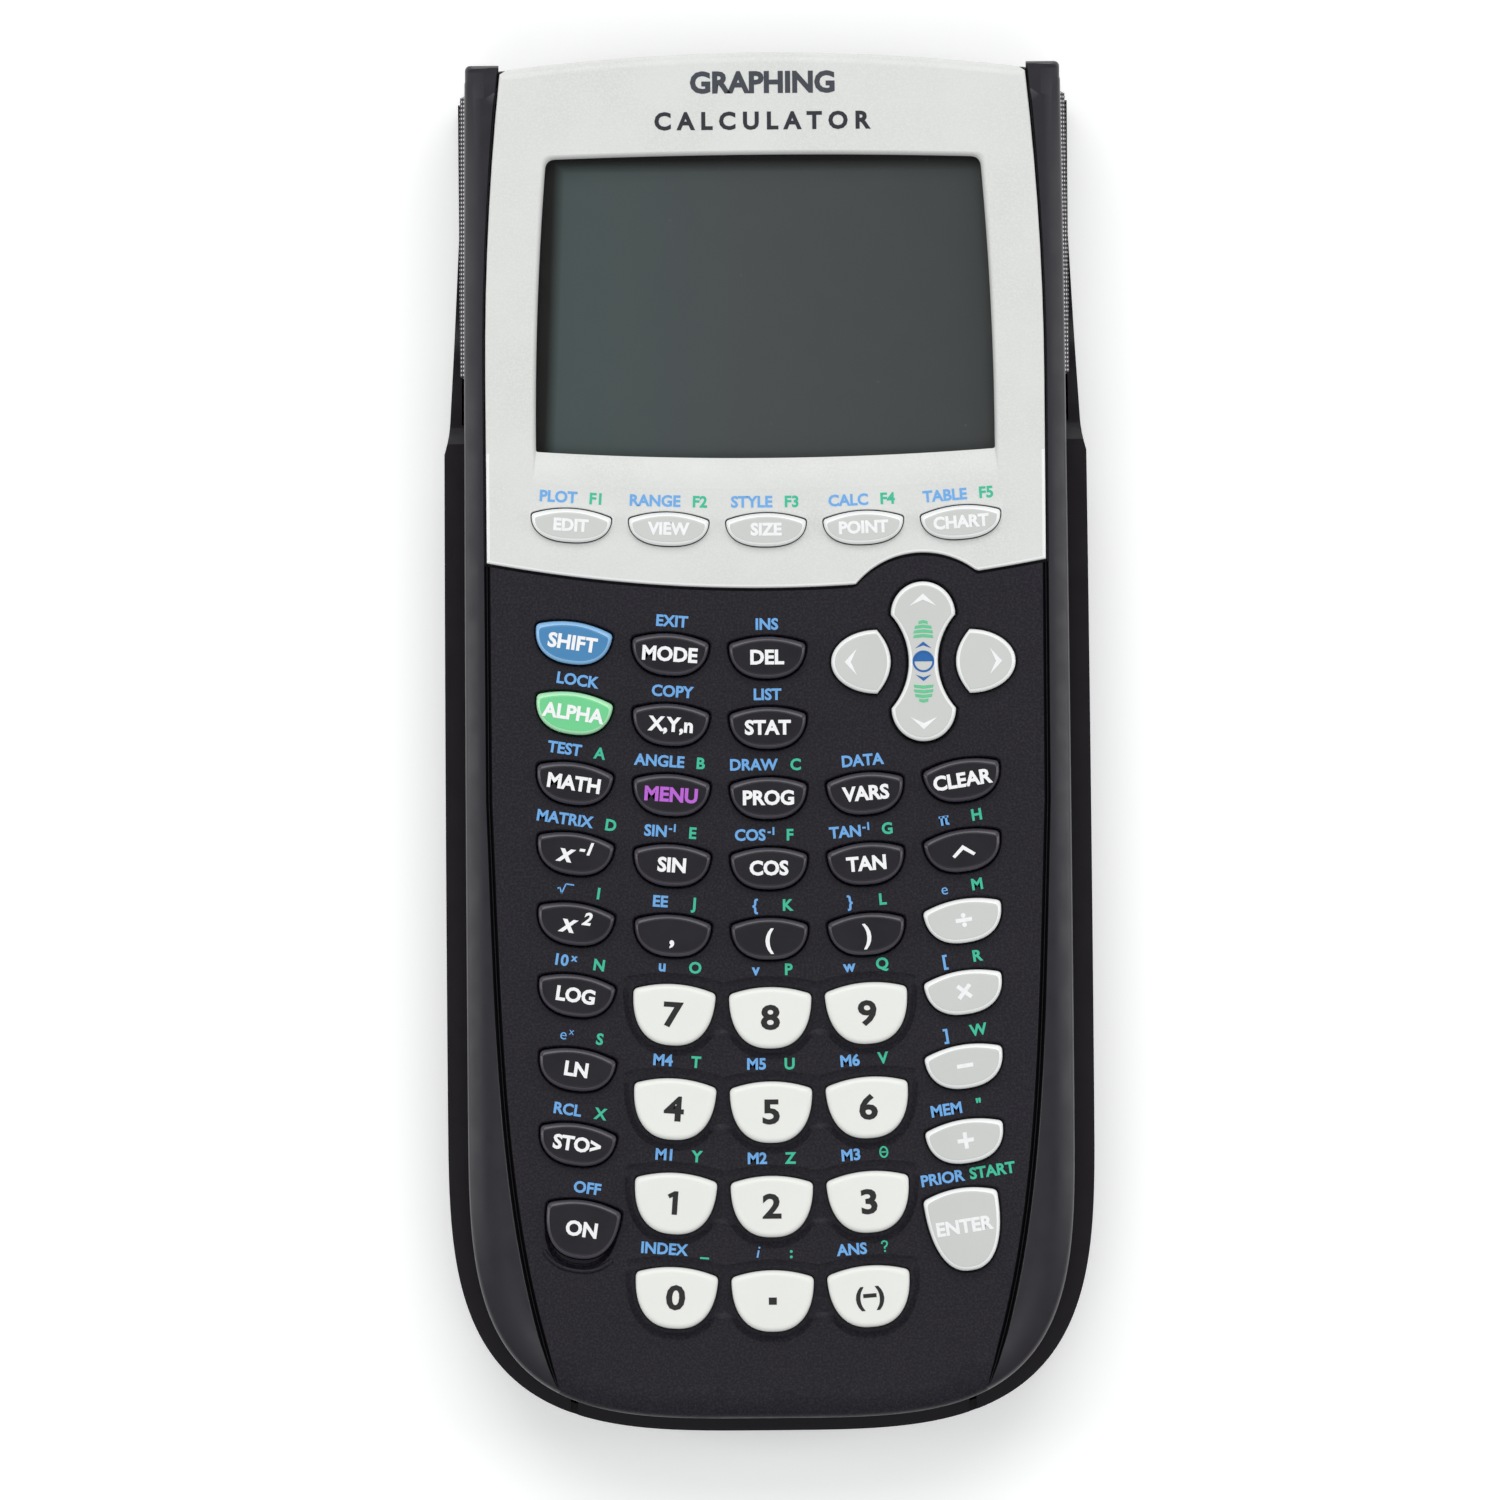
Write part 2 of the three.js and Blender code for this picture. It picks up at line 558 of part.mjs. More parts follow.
// Half the cover's width beside the finger grips: a long slow flare and then a shoulder.
function coverHalfBeside(y) {
  const [low, shoulderTop, top] = COVER_FLARE.y;
  const shoulder = Math.max(0, shoulderTop - y) / (shoulderTop - low);
  return COVER_NARROW_HALF + COVER_FLARE.rate * Math.max(0, top - y) + COVER_FLARE.shoulder * shoulder ** 2;
}

// What is cut from the cover beside the finger grips: the wall above a falling edge, and what is too wide.
function gripCutaways(side) {
  const edge = [[40, COVER_LIP_Z[1] + 0.2], [44, 12], [47, 8], [52, 5], [60, COVER_LOW_WALL_Z]];
  const corners = [[BEYOND_END, COVER_LOW_WALL_Z], [BEYOND_END, ABOVE_ALL], [40, ABOVE_ALL]];
  const profile = new THREE.Shape([...edge, ...corners].map(([y, z]) => new THREE.Vector2(y, z)));
  const depth = 12;
  const slab = new THREE.ExtrudeGeometry(profile, { depth, bevelEnabled: false });
  slab.rotateX(Math.PI / 2).rotateZ(Math.PI / 2); // the profile's plane is now YZ
  const outside = 50;
  const above = solidOf(slab.translate(side < 0 ? -outside : outside - depth, 0, 0));
  const flare = [40, 41, 42.5, 44.5, 52, 60, 70, BEYOND_END].map((y) => [coverHalfBeside(y), y]);
  const plan = [[outside, 40], ...flare, [outside, BEYOND_END]];
  const beside = prism(plan.map(([x, y]) => new THREE.Vector2(side * x, y)), [-1, ABOVE_ALL]);
  return join(above, beside);
}

function slideCover() {
  const hull = roundedPrism(coverOutline, [0, COVER_LIP_Z[1]], { inset: 6.5, height: 8, upper: false });
  const insideAt = (grow) => bodyOutline(grow + COVER_CLEARANCE);
  const insideZ = [COVER_FLOOR, COVER_LIP_Z[0]];
  const inside = roundedPrism(insideAt, insideZ, { inset: 5, height: 6, upper: false });
  const mouth = prism(bodyOutline(-0.6), [COVER_LIP_Z[0] - 1, ABOVE_ALL]);
  return cut(hull, inside, mouth, gripCutaways(-1), gripCutaways(1));
}

// ---------------------------------------------------------------- inside

const displayWindow = () => prism(displayOutline(1.5), [PANEL_UNDERSIDE_Z - 0.1, FACEPLATE_Z[0] - 0.2]);

function lcdModule() {
  const glass = box([-33.5, 33.5], [37.2, 84], [18.6, 20.8]);
  const carrier = box([-34.4, 34.4], [35.6, 84.2], [17.8, 19.2]);
  return join(carrier, glass);
}

function domeSheet() {
  const area = box([-34, 34], [-90, 33.4], [0, ABOVE_ALL]);
  const sheet = prism(bodyOutline(-4.4), SHEET_Z).intersect(area);
  const domes = keys.flatMap((key) => {
    const keyBottom = isRocker(key) ? ROCKER_BOTTOM_Z : KEY_BOTTOM_Z;
    const spots = isRocker(key) ? [-7, 7] : [0];
    const z = [SHEET_Z[1] - 0.2, keyBottom - DOME_GAP];
    return spots.map((dy) => post(key.centre.x, key.centre.y + dy, z, 2.2, 1.5, 6));
  });
  return cut(join(sheet, ...domes), ...bossPosts([0, ABOVE_ALL], BOSS_RADIUS + 0.3));
}

function mainBoard() {
  const plate = prism(bodyOutline(-3), BOARD_Z);
  const under = (x, y, width, length, drop) => {
    const z = [BOARD_Z[0] - drop, BOARD_Z[0] + 0.1];
    return box([x - width / 2, x + width / 2], [y - length / 2, y + length / 2], z);
  };
  const processor = under(-12, 2, 20, 20, 1.6);
  const memory = under(14, 4, 12, 18, 1.2);
  const driver = under(-8, -26, 14, 9, 1.2);
  const crystal = under(20, -22, 11, 5, 3.6);
  const capacitor = under(-24, -50, 6.3, 6.3, 5.4);
  const usbX = [USB_PORT.x - USB_PORT.half, USB_PORT.x + USB_PORT.half];
  const usb = box(usbX, PORT_Y, [BOARD_Z[1] - 0.1, USB_PORT.z[1]]);
  const usbMouth = aroundUsb([PORT_Y[1] - 6, BEYOND_END], -0.5);
  const { x, z, radius } = LINK_JACK;
  const jackFoot = box([x - radius, x + radius], [PORT_Y[0], 90], [BOARD_Z[1] - 0.1, z]);
  const jack = alongJack(PORT_Y, radius);
  const whole = join(plate, processor, memory, driver, crystal, capacitor, usb, jack, jackFoot);
  const jackBore = alongJack([PORT_Y[1] - 8, BEYOND_END], 1.25);
  return cut(whole, usbMouth, jackBore, ...bossPosts([0, ABOVE_ALL], BOSS_RADIUS + 0.3));
}

// Four AAA cells side by side, each turned end for end from its neighbour.
function batteryCells() {
  const half = CELL_LENGTH / 2;
  const nubRadius = 1.9;
  const profile = [
    [0, -half], [CELL_RADIUS, -half], [CELL_RADIUS, half],
    [nubRadius, half], [nubRadius, half + CELL_NUB], [0, half + CELL_NUB],
  ].map(([r, y]) => new THREE.Vector2(r, y));
  const cells = [-1.5, -0.5, 0.5, 1.5].map((place, i) => {
    const geometry = new THREE.LatheGeometry(profile, 16);
    if (i % 2) geometry.rotateZ(Math.PI);
    return solidOf(geometry.translate(place * CELL_PITCH, BAY_CENTRE_Y, CELL_AXIS_Z));
  });
  return join(...cells);
}

const backupCell = () => aroundBackupCell(BACKUP_CELL.z, 0);

// ---------------------------------------------------------------- assembly

const calculator = new THREE.Group();
calculator.name = "graphing_calculator";

function place(parent, name, solid, material) {
  const mesh = new THREE.Mesh(geometryOf(solid), material);
  mesh.name = name;
  parent.add(mesh);
}

place(calculator, "slide_cover", slideCover(), COVER_PLASTIC);
place(calculator, "rear_housing", rearHousing(), DARK_SHELL);
place(calculator, "battery_door", batteryDoor(), DARK_SHELL);
place(calculator, "battery_cells", batteryCells(), CELL_JACKET);
place(calculator, "backup_cell", backupCell(), STEEL);
place(calculator, "main_board", mainBoard(), BOARD);
place(calculator, "dome_sheet", domeSheet(), RUBBER);
place(calculator, "lcd_module", lcdModule(), LCD);
place(calculator, "display_window", displayWindow(), WINDOW);
place(calculator, "front_housing", frontHousing(), DARK_SHELL);
place(calculator, "faceplate", faceplate(), PALE_SHELL);

const keypad = new THREE.Group();
calculator.add(keypad);
for (const key of keys) place(keypad, key.name, keySolid(key), key.material);

export default calculator;
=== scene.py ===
"""A graphing calculator on its back, with its slide cover below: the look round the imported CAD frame."""

import math

import bmesh
import bpy
from mathutils import Euler, Matrix, Vector


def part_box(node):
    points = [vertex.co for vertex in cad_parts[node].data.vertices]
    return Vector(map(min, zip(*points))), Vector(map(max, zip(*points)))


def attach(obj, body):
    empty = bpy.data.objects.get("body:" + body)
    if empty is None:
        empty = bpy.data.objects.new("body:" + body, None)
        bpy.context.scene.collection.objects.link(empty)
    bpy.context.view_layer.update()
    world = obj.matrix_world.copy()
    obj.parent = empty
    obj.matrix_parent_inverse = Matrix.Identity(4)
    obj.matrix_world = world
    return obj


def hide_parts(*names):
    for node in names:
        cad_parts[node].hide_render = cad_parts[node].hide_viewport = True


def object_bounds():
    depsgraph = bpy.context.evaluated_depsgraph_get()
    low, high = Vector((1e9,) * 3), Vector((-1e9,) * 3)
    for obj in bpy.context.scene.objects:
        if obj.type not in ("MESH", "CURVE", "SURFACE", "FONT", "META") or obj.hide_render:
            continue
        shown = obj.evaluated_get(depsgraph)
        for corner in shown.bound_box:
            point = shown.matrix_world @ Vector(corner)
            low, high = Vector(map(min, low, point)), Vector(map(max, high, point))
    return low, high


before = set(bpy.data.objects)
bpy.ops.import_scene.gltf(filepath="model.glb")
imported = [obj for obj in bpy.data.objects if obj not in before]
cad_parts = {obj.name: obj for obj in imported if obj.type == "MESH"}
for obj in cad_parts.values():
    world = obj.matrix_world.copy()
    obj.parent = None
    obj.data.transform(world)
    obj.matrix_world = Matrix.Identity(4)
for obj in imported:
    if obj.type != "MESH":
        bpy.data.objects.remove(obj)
CAD_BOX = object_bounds()

MM = 0.001  # outlines and heights below are in millimetres, and each mesh is scaled to metres as it is made
CASE = "case"
COVER = "cover"


def cad_box(node):
    """A CAD node's box in millimetres: lowest and highest corner."""
    low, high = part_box(node)
    return Vector(low) / MM, Vector(high) / MM


# ---------------------------------------------------------------- heights and outlines

FRONT_LOW = cad_box("front_housing")[0].z
PANEL_Z = cad_box("front_housing")[1].z
PLATE_LOW, PLATE_Z = 22.5, cad_box("faceplate")[1].z
LIP_LOW = cad_box("faceplate")[0].z
REAR_LOW, REAR_HIGH = cad_box("rear_housing")[0].z, 13.0
COVER_HIGH = cad_box("slide_cover")[1].z
HALF_LENGTH = CAD_BOX[1].y / MM
PANEL_UNDERSIDE = 21.3
ABOVE = 30.0  # clear of everything, for the far end of a cutter

BODY_HALF, BODY_LOW = 41.8, -93.2
COVER_MOUTH_Y = 88.4  # the cover's straight open end
BELLY_Y = -50.0  # the sides run up from here, and the lower end curves away from here
TOP_RADIUS = 286.0
TAPER = 0.8
KNURL_PITCH = 0.58  # between the bumps of the finger grips


def shares(steps):
    """Even steps from 0 to 1, both included."""
    return [i / steps for i in range(steps + 1)]


def mirrored(points):
    """The points on the other side of the middle line, in reverse order."""
    return [(-x, y) for x, y in reversed(points)]


def top_arc(x, grow=0.0):
    """The display end's shallow arc."""
    return HALF_LENGTH + grow - x * x / (2 * TOP_RADIUS)


def taper_at(y):
    """How far a side is drawn in towards the display end."""
    return TAPER * (max(0.0, y - BELLY_Y) / (HALF_LENGTH - BELLY_Y)) ** 2


def plan_outline(half_width, bottom, squareness, grow=0.0, flat_top=None):
    """The convex plan of the body or the cover, anticlockwise from the left end of the belly."""
    a = half_width + grow
    b = BELLY_Y - bottom + grow
    power = 2 / squareness
    corner = 1.0
    belly = []
    for share in shares(96):
        angle = math.pi * (1 + share)
        c, s = math.cos(angle), abs(math.sin(angle))
        belly.append((a * math.copysign(abs(c) ** power, c), BELLY_Y - b * s**power))
    side_top = flat_top if flat_top is not None else top_arc(a, grow) - corner
    heights = [BELLY_Y + (side_top - BELLY_Y) * share for share in shares(12)[1:]]
    right = [(a - taper_at(y), y) for y in heights]
    top = []
    if flat_top is None:
        half = a - taper_at(side_top) - corner
        rounding = [(half + corner * math.cos(t), side_top + corner * math.sin(t)) for t in (0.4, 0.8, 1.2)]
        arc = [(x, top_arc(x, grow)) for x in [half * (1 - 2 * share) for share in shares(24)]]
        top = rounding + arc + mirrored(rounding)
    return belly + right + top + mirrored(right)


def body_outline(grow=0.0):
    return plan_outline(BODY_HALF, BODY_LOW, 3.7, grow)


def cover_outline(grow=0.0):
    return plan_outline(CAD_BOX[1].x / MM, -HALF_LENGTH, 3.5, grow, flat_top=COVER_MOUTH_Y)


def panel_half_at(y):
    """Half the width between the two long grooves."""
    drawn_in = max(0.0, y - 50) / 43
    narrowed = max(0.0, -8 - y) / 82
    return 38.5 - 2.4 * drawn_in**2 - 2.6 * narrowed - 6.6 * narrowed**4


DOME_X, DOME_Y, DOME_RADIUS = 21.5, 13.9, 12.0  # the bite round the arrow keys


def smile_at(x):
    """The faceplate's lower edge: a smile with a round bite above the arrow keys."""
    smile = 21.2 + x * x / 400
    across = abs(x - DOME_X)
    if across >= DOME_RADIUS:
        return smile
    return max(smile, DOME_Y + math.sqrt(DOME_RADIUS**2 - across**2))


def faceplate_outline(grow=0.0):
    """The white plate: the smile below, the grooves at its sides and the arc at the display end."""
    half = panel_half_at(25) + grow
    lower = [(x, smile_at(x) - grow) for x in [-half + 2 * half * share for share in shares(150)]]
    side_top = 92.2
    heights = [40, 50, 56, 62, 68, 74, 80, 86, side_top]
    right = [(panel_half_at(y) + grow, y) for y in heights]
    half = panel_half_at(side_top) + grow - 1
    top = [(x, top_arc(x, grow)) for x in [half * (1 - 2 * share) for share in shares(24)]]
    return lower + right + top + mirrored(right)


def bow(start, end, bulge, steps):
    """Points from start to just before end, bowed sideways by the bulge (to the right of the way)."""
    ax, ay = start
    bx, by = end
    length = math.hypot(bx - ax, by - ay)
    nx, ny = (by - ay) / length, -(bx - ax) / length
    points = []
    for t in shares(steps)[:-1]:
        out = 4 * bulge * t * (1 - t)
        points.append((ax + (bx - ax) * t + nx * out, ay + (by - ay) * t + ny * out))
    return points


def softened(before, corner, after, radius, steps=6):
    """A rounded corner: a quadratic curve that leaves and meets the sides at the radius."""
    before, corner, after = Vector(before), Vector(corner), Vector(after)
    radius = min(radius, 0.9 * (before - corner).length, 0.9 * (after - corner).length)
    start = corner + (before - corner).normalized() * radius
    end = corner + (after - corner).normalized() * radius
    return [tuple(start * (1 - t) ** 2 + corner * 2 * t * (1 - t) + end * t * t) for t in shares(steps)]


def display_outline(grow=0.0, ramp=0.0):
    """The opening over the display: four bowed sides. The ramp moves only its lower side down."""
    top, bottom = 80.4 + grow, 40.2 - grow - ramp
    top_half, bottom_half = 29.9 + grow, 31.6 + grow
    corners = [(-bottom_half, bottom), (bottom_half, bottom), (top_half, top), (-top_half, top)]
    points = []
    for i, (bulge, radius) in enumerate(((1.1, 0.3), (0.45, 1.3), (0.5, 1.3), (0.45, 0.3))):
        start, end = corners[i], corners[(i + 1) % 4]
        side = bow(start, end, bulge, 24)
        points += side[1:]
        after = corners[(i + 2) % 4]
        points += softened(side[-1], end, bow(end, after, bulge, 24)[1], radius)
    return points


KEY_CROWN = 1.0  # the rise of the arc across a key's top
KEY_EXPONENT = 2.4  # squareness of the belly: 2 is an ellipse
KEY_CORNER = 0.6


def key_outline(width, height, grow=0.0):
    """A shallow arc across the top and a deep round belly below."""
    a = width / 2 + grow
    corner = height / 2 - KEY_CROWN + grow
    depth = corner + height / 2 + grow
    power = 2 / KEY_EXPONENT
    belly, crown = [], []
    for share in shares(40):
        c, s = math.cos(math.pi * share), math.sin(math.pi * share)
        belly.append((a * math.copysign(abs(c) ** power, c), corner - depth * abs(s) ** power))
    for share in shares(16)[1:-1]:
        across = 2 * share - 1
        crown.append((a * across, corner + KEY_CROWN * (1 - across * across)))
    left = softened(belly[-2], belly[-1], crown[0], KEY_CORNER)
    right = softened(crown[-1], belly[0], belly[1], KEY_CORNER)
    return (belly[1:-1] + left + crown + right)[::-1]


def arrow_outline(side, grow=0.0):
    """A left (-1) or right (1) arrow key: a half ellipse outside and a shallow arc beside the rocker."""
    outer, inner, half = 6.3, 1.9, 4.4
    middle = (outer - inner) / 2
    points = []
    for share in shares(32):
        angle = math.pi * (share - 0.5)
        points.append(((outer + grow) * math.cos(angle) - middle, (half + grow) * math.sin(angle)))
    for share in shares(14)[1:-1]:
        up = 1 - 2 * share
        points.append((-(inner + grow) * (1 - up * up) - middle, (half + grow) * up))
    return points if side > 0 else mirrored(points)


def rocker_outline(grow=0.0):
    """Two round lobes joined by a waist between concave arcs."""
    half, lobe, shoulder, waist, radius = 11.0, 4.43, 6.45, 2.0, 9.8
    quarter = []
    for share in shares(16)[:-1]:
        angle = math.pi / 2 * (1 - share)
        up = (half - shoulder + grow) * math.sin(angle)
        quarter.append(((lobe + grow) * math.cos(angle), shoulder + up))
    for share in shares(10)[:-1]:
        y = shoulder * (1 - share)
        quarter.append((waist + radius - math.sqrt(radius**2 - y**2) + grow, y))
    lower = [(x, -y) for x, y in reversed(quarter)]
    right = quarter + [(waist + grow, 0)] + lower
    left = [(-x, y) for x, y in right[1:-1]]
    return (right + left[::-1])[::-1]


# ---------------------------------------------------------------- meshes

scene = bpy.context.scene


def linked(name, data):
    """An object of the data, linked to the scene."""
    obj = bpy.data.objects.new(name, data)
    scene.collection.objects.link(obj)
    return obj


def new_mesh(name, verts, faces):
    """A mesh of points in millimetres."""
    mesh = bpy.data.meshes.new(name)
    mesh.from_pydata([(x * MM, y * MM, z * MM) for x, y, z in verts], [], faces)
    return mesh


def new_object(name, verts, faces):
    return linked(name, new_mesh(name, verts, faces))


def ring(points, z):
    return [(x, y, z) for x, y in points]


def loft_data(rings):
    """Corners and faces of a solid through rings that all have the same number of points, lowest first."""
    count = len(rings[0])
    verts = [p for r in rings for p in r]
    faces = []
    for k in range(len(rings) - 1):
        for i in range(count):
            j = (i + 1) % count
            faces.append((k * count + i, k * count + j, (k + 1) * count + j, (k + 1) * count + i))
    faces.append(tuple(reversed(range(count))))
    faces.append(tuple(range(len(verts) - count, len(verts))))
    return verts, faces


def loft(name, rings):
    return new_object(name, *loft_data(rings))


def prism(name, points, z):
    return loft(name, [ring(points, z[0]), ring(points, z[1])])


def block(name, x, y, z):
    return prism(name, [(x[0], y[0]), (x[1], y[0]), (x[1], y[1]), (x[0], y[1])], z)


def tube(name, centre, axis, radius, length, sides=40, top_radius=None):
    """A cylinder or cone from the centre point along the axis ("y" or "z")."""
    top_radius = radius if top_radius is None else top_radius
    rings = []
    for reach, r in ((0, radius), (length, top_radius)):
        loop = []
        for share in shares(sides)[:-1]:
            u, v = r * math.cos(2 * math.pi * share), r * math.sin(2 * math.pi * share)
            if axis == "z":
                loop.append((centre[0] + u, centre[1] + v, centre[2] + reach))
            else:
                loop.append((centre[0] - u, centre[1] + reach, centre[2] + v))
        rings.append(loop)
    return loft(name, rings)


def combine(target, others, operation):
    """A boolean of the target with each other object in turn. The others are used up."""
    for other in others:
        modifier = target.modifiers.new("combine", "BOOLEAN")
        modifier.operation = operation
        modifier.solver = "MANIFOLD"
        modifier.object = other
    bpy.context.view_layer.update()
    graph = bpy.context.evaluated_depsgraph_get()
    result = bpy.data.meshes.new_from_object(target.evaluated_get(graph))
    target.modifiers.clear()
    old = target.data
    target.data = result
    bpy.data.meshes.remove(old)
    for other in others:
        bpy.data.meshes.remove(other.data)
    return target


def cut(target, *others):
    return combine(target, others, "DIFFERENCE")


def joined(target, *others):
    return combine(target, others, "UNION")


def common(target, *others):
    return combine(target, others, "INTERSECT")


def gather(name, objects):
    """One object out of several separate ones, which are used up. Material slots are kept in order."""
    bm = bmesh.new()
    materials = []
    for obj in objects:
        start = len(bm.faces)
        bm.from_mesh(obj.data)
        bm.faces.ensure_lookup_table()
        for face in bm.faces[start:]:
            own = obj.data.materials
            material = own[face.material_index] if len(own) else None
            if material not in materials:
                materials.append(material)
            face.material_index = materials.index(material)
    mesh = bpy.data.meshes.new(name)
    bm.to_mesh(mesh)
    bm.free()
    for material in materials:
        mesh.materials.append(material)
    for obj in objects:
        bpy.data.meshes.remove(obj.data)
    return linked(name, mesh)


def smooth(obj, angle=28):
    """Smooth shading, sharp round every level face and where faces meet at more than the angle."""
    mesh = obj.data
    bm = bmesh.new()
    bm.from_mesh(mesh)
    bmesh.ops.remove_doubles(bm, verts=bm.verts, dist=1e-7)
    bm.normal_update()
    for face in bm.faces:
        face.smooth = True
    for edge in bm.edges:
        if len(edge.link_faces) != 2:
            continue
        flats = [abs(face.normal.z) > 0.9999 for face in edge.link_faces]
        turn = edge.calc_face_angle(0.0)
        edge.smooth = turn < math.radians(angle) and flats[0] == flats[1]
    bm.to_mesh(mesh)
    bm.free()
    return obj


def rounded_prism(name, outline_at, z, inset, height, upper, steps):
    """An upright solid whose upper or lower rim is rounded in by the inset, over the height."""
    low, high = z
    rim = []
    for share in shares(steps):
        angle = math.pi / 2 * share
        drop = height * (1 - math.sin(angle))
        points = outline_at(-inset * (1 - math.cos(angle)))
        rim.append(ring(points, high - drop if upper else low + drop))
    square = ring(outline_at(0.0), low if upper else high)
    return loft(name, [square] + rim if upper else rim[::-1] + [square])


def profiled_prism(name, outline_at, z, profile):
    """An upright solid whose upper rim follows a profile of (inset, drop) steps, from the wall inwards."""
    rings = [ring(outline_at(0.0), z[0])]
    rings += [ring(outline_at(-inset), z[1] - drop) for inset, drop in profile]
    return loft(name, rings)


def paint(obj, *materials):
    """Replaces the object's materials."""
    obj.data.materials.clear()
    for material in materials:
        obj.data.materials.append(material)


def finish_piece(obj, body, material, replaces=()):
    """Gives a piece its material and body, and hides the CAD nodes that it stands for."""
    if material is not None:
        paint(obj, material)
    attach(obj, body)
    if replaces:
        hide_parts(*replaces)
    return obj


# ---------------------------------------------------------------- materials


def srgb(r, g, b):
    """A display colour, 0 to 255, as linear RGBA."""
    shown = [c / 255 for c in (r, g, b)]
    linear = [c / 12.92 if c <= 0.04045 else ((c + 0.055) / 1.055) ** 2.4 for c in shown]
    return (*linear, 1.0)


def toned(colour, factor):
    """The colour, lighter or darker by the factor."""
    return tuple(min(1.0, c * factor) for c in colour[:3]) + (1.0,)


class Nodes:
    """A small helper round a material's node tree."""

    def __init__(self, name):
        self.material = bpy.data.materials.new(name)
        self.material.use_nodes = True
        self.tree = self.material.node_tree
        self.shader = self.tree.nodes["Principled BSDF"]
        self.place = self.add("ShaderNodeTexCoord").outputs["Object"]

    def add(self, kind, **settings):
        node = self.tree.nodes.new(kind)
        for key, value in settings.items():
            setattr(node, key, value)
        return node

    def link(self, output, socket):
        self.tree.links.new(output, socket)

    def axes(self):
        """The place's X, Y and Z, in metres."""
        node = self.add("ShaderNodeSeparateXYZ")
        self.link(self.place, node.inputs[0])
        return node.outputs

    def calculate(self, operation, *values):
        """A calculation with plain numbers and other nodes' outputs."""
        node = self.add("ShaderNodeMath", operation=operation)
        for socket, value in zip(node.inputs, values):
            if isinstance(value, float):
                socket.default_value = value
            else:
                self.link(value, socket)
        return node.outputs[0]

    def noise(self, scale, detail=2.0, roughness=0.5):
        node = self.add("ShaderNodeTexNoise")
        node.inputs["Scale"].default_value = scale
        node.inputs["Detail"].default_value = detail
        node.inputs["Roughness"].default_value = roughness
        self.link(self.place, node.inputs["Vector"])
        return node.outputs["Fac"]

    def cells(self, scale):
        node = self.add("ShaderNodeTexVoronoi", feature="F1")
        node.inputs["Scale"].default_value = scale
        self.link(self.place, node.inputs["Vector"])
        return node.outputs["Distance"]

    def remap(self, value, low, high, to_low, to_high):
        node = self.add("ShaderNodeMapRange")
        node.clamp = True
        self.link(value, node.inputs["Value"])
        for name, number in (("From Min", low), ("From Max", high), ("To Min", to_low), ("To Max", to_high)):
            node.inputs[name].default_value = number
        return node.outputs["Result"]

    def ramp(self, value, stops):
        node = self.add("ShaderNodeValToRGB")
        while len(node.color_ramp.elements) < len(stops):
            node.color_ramp.elements.new(0.5)
        for element, (position, colour) in zip(node.color_ramp.elements, stops):
            element.position = position
            element.color = colour
        self.link(value, node.inputs["Fac"])
        return node.outputs["Color"]

    def mix(self, fac, a, b):
        node = self.add("ShaderNodeMix", data_type="RGBA")
        self.link(fac, node.inputs[0])
        for socket, value in ((node.inputs[6], a), (node.inputs[7], b)):
            if isinstance(value, tuple):
                socket.default_value = value
            else:
                self.link(value, socket)
        return node.outputs[2]

    def bump(self, height, strength, distance, before=None):
        node = self.add("ShaderNodeBump")
        node.inputs["Strength"].default_value = strength
        node.inputs["Distance"].default_value = distance
        self.link(height, node.inputs["Height"])
        if before is not None:
            self.link(before, node.inputs["Normal"])
        return node.outputs["Normal"]

    def base(self, colour):
        if isinstance(colour, tuple):
            self.shader.inputs["Base Color"].default_value = colour
        else:
            self.link(colour, self.shader.inputs["Base Color"])

    def rough(self, scale, detail, low, high):
        """Roughness that wanders between low and high."""
        value = self.remap(self.noise(scale, detail), 0.3, 0.7, low, high)
        self.link(value, self.shader.inputs["Roughness"])

    def set(self, **values):
        for key, value in values.items():
            self.shader.inputs[key.replace("_", " ")].default_value = value


def moulded(name, colour, roughness, grain=0.0, grain_scale=5000, variation=0.06, specular=0.5, speckle=0.0):
    """Moulded plastic: faint mottling, handling marks in the gloss, a fine grain and fine light specks."""
    n = Nodes(name)
    dark, light = toned(colour, 1 - variation), toned(colour, 1 + variation)
    tone = n.ramp(n.noise(90, 4), [(0.35, dark), (0.65, light)])
    if speckle:
        bright = tuple(min(1.0, c + speckle) for c in colour[:3]) + (1.0,)
        tone = n.mix(n.remap(n.noise(3200, 2, 0.7), 0.42, 0.68, 0.0, 1.0), tone, bright)
    n.base(tone)
    spread = 0.16 * roughness
    marks = n.remap(n.noise(260, 5, 0.6), 0.35, 0.7, roughness - spread, roughness + spread)
    n.link(marks, n.shader.inputs["Roughness"])
    normal = n.bump(n.noise(140, 2), 0.06, 0.0002)
    if grain:
        normal = n.bump(n.noise(grain_scale, 2, 0.6), grain, 0.00004, normal)
    n.link(normal, n.shader.inputs["Normal"])
    n.set(Specular_IOR_Level=specular)
    return n.material


def printed(name, colour):
    """Screen-printed ink: slightly uneven, with a satin surface."""
    n = Nodes(name)
    n.base(n.ramp(n.noise(1800, 2), [(0.3, toned(colour, 0.93)), (0.7, colour)]))
    n.rough(2400, 2, 0.42, 0.6)
    return n.material


def display_glass():
    n = Nodes("display_window_clear")
    n.base(srgb(30, 36, 36))
    n.rough(500, 3, 0.04, 0.09)
    n.set(Alpha=0.1, Specular_IOR_Level=0.35)
    return n.material


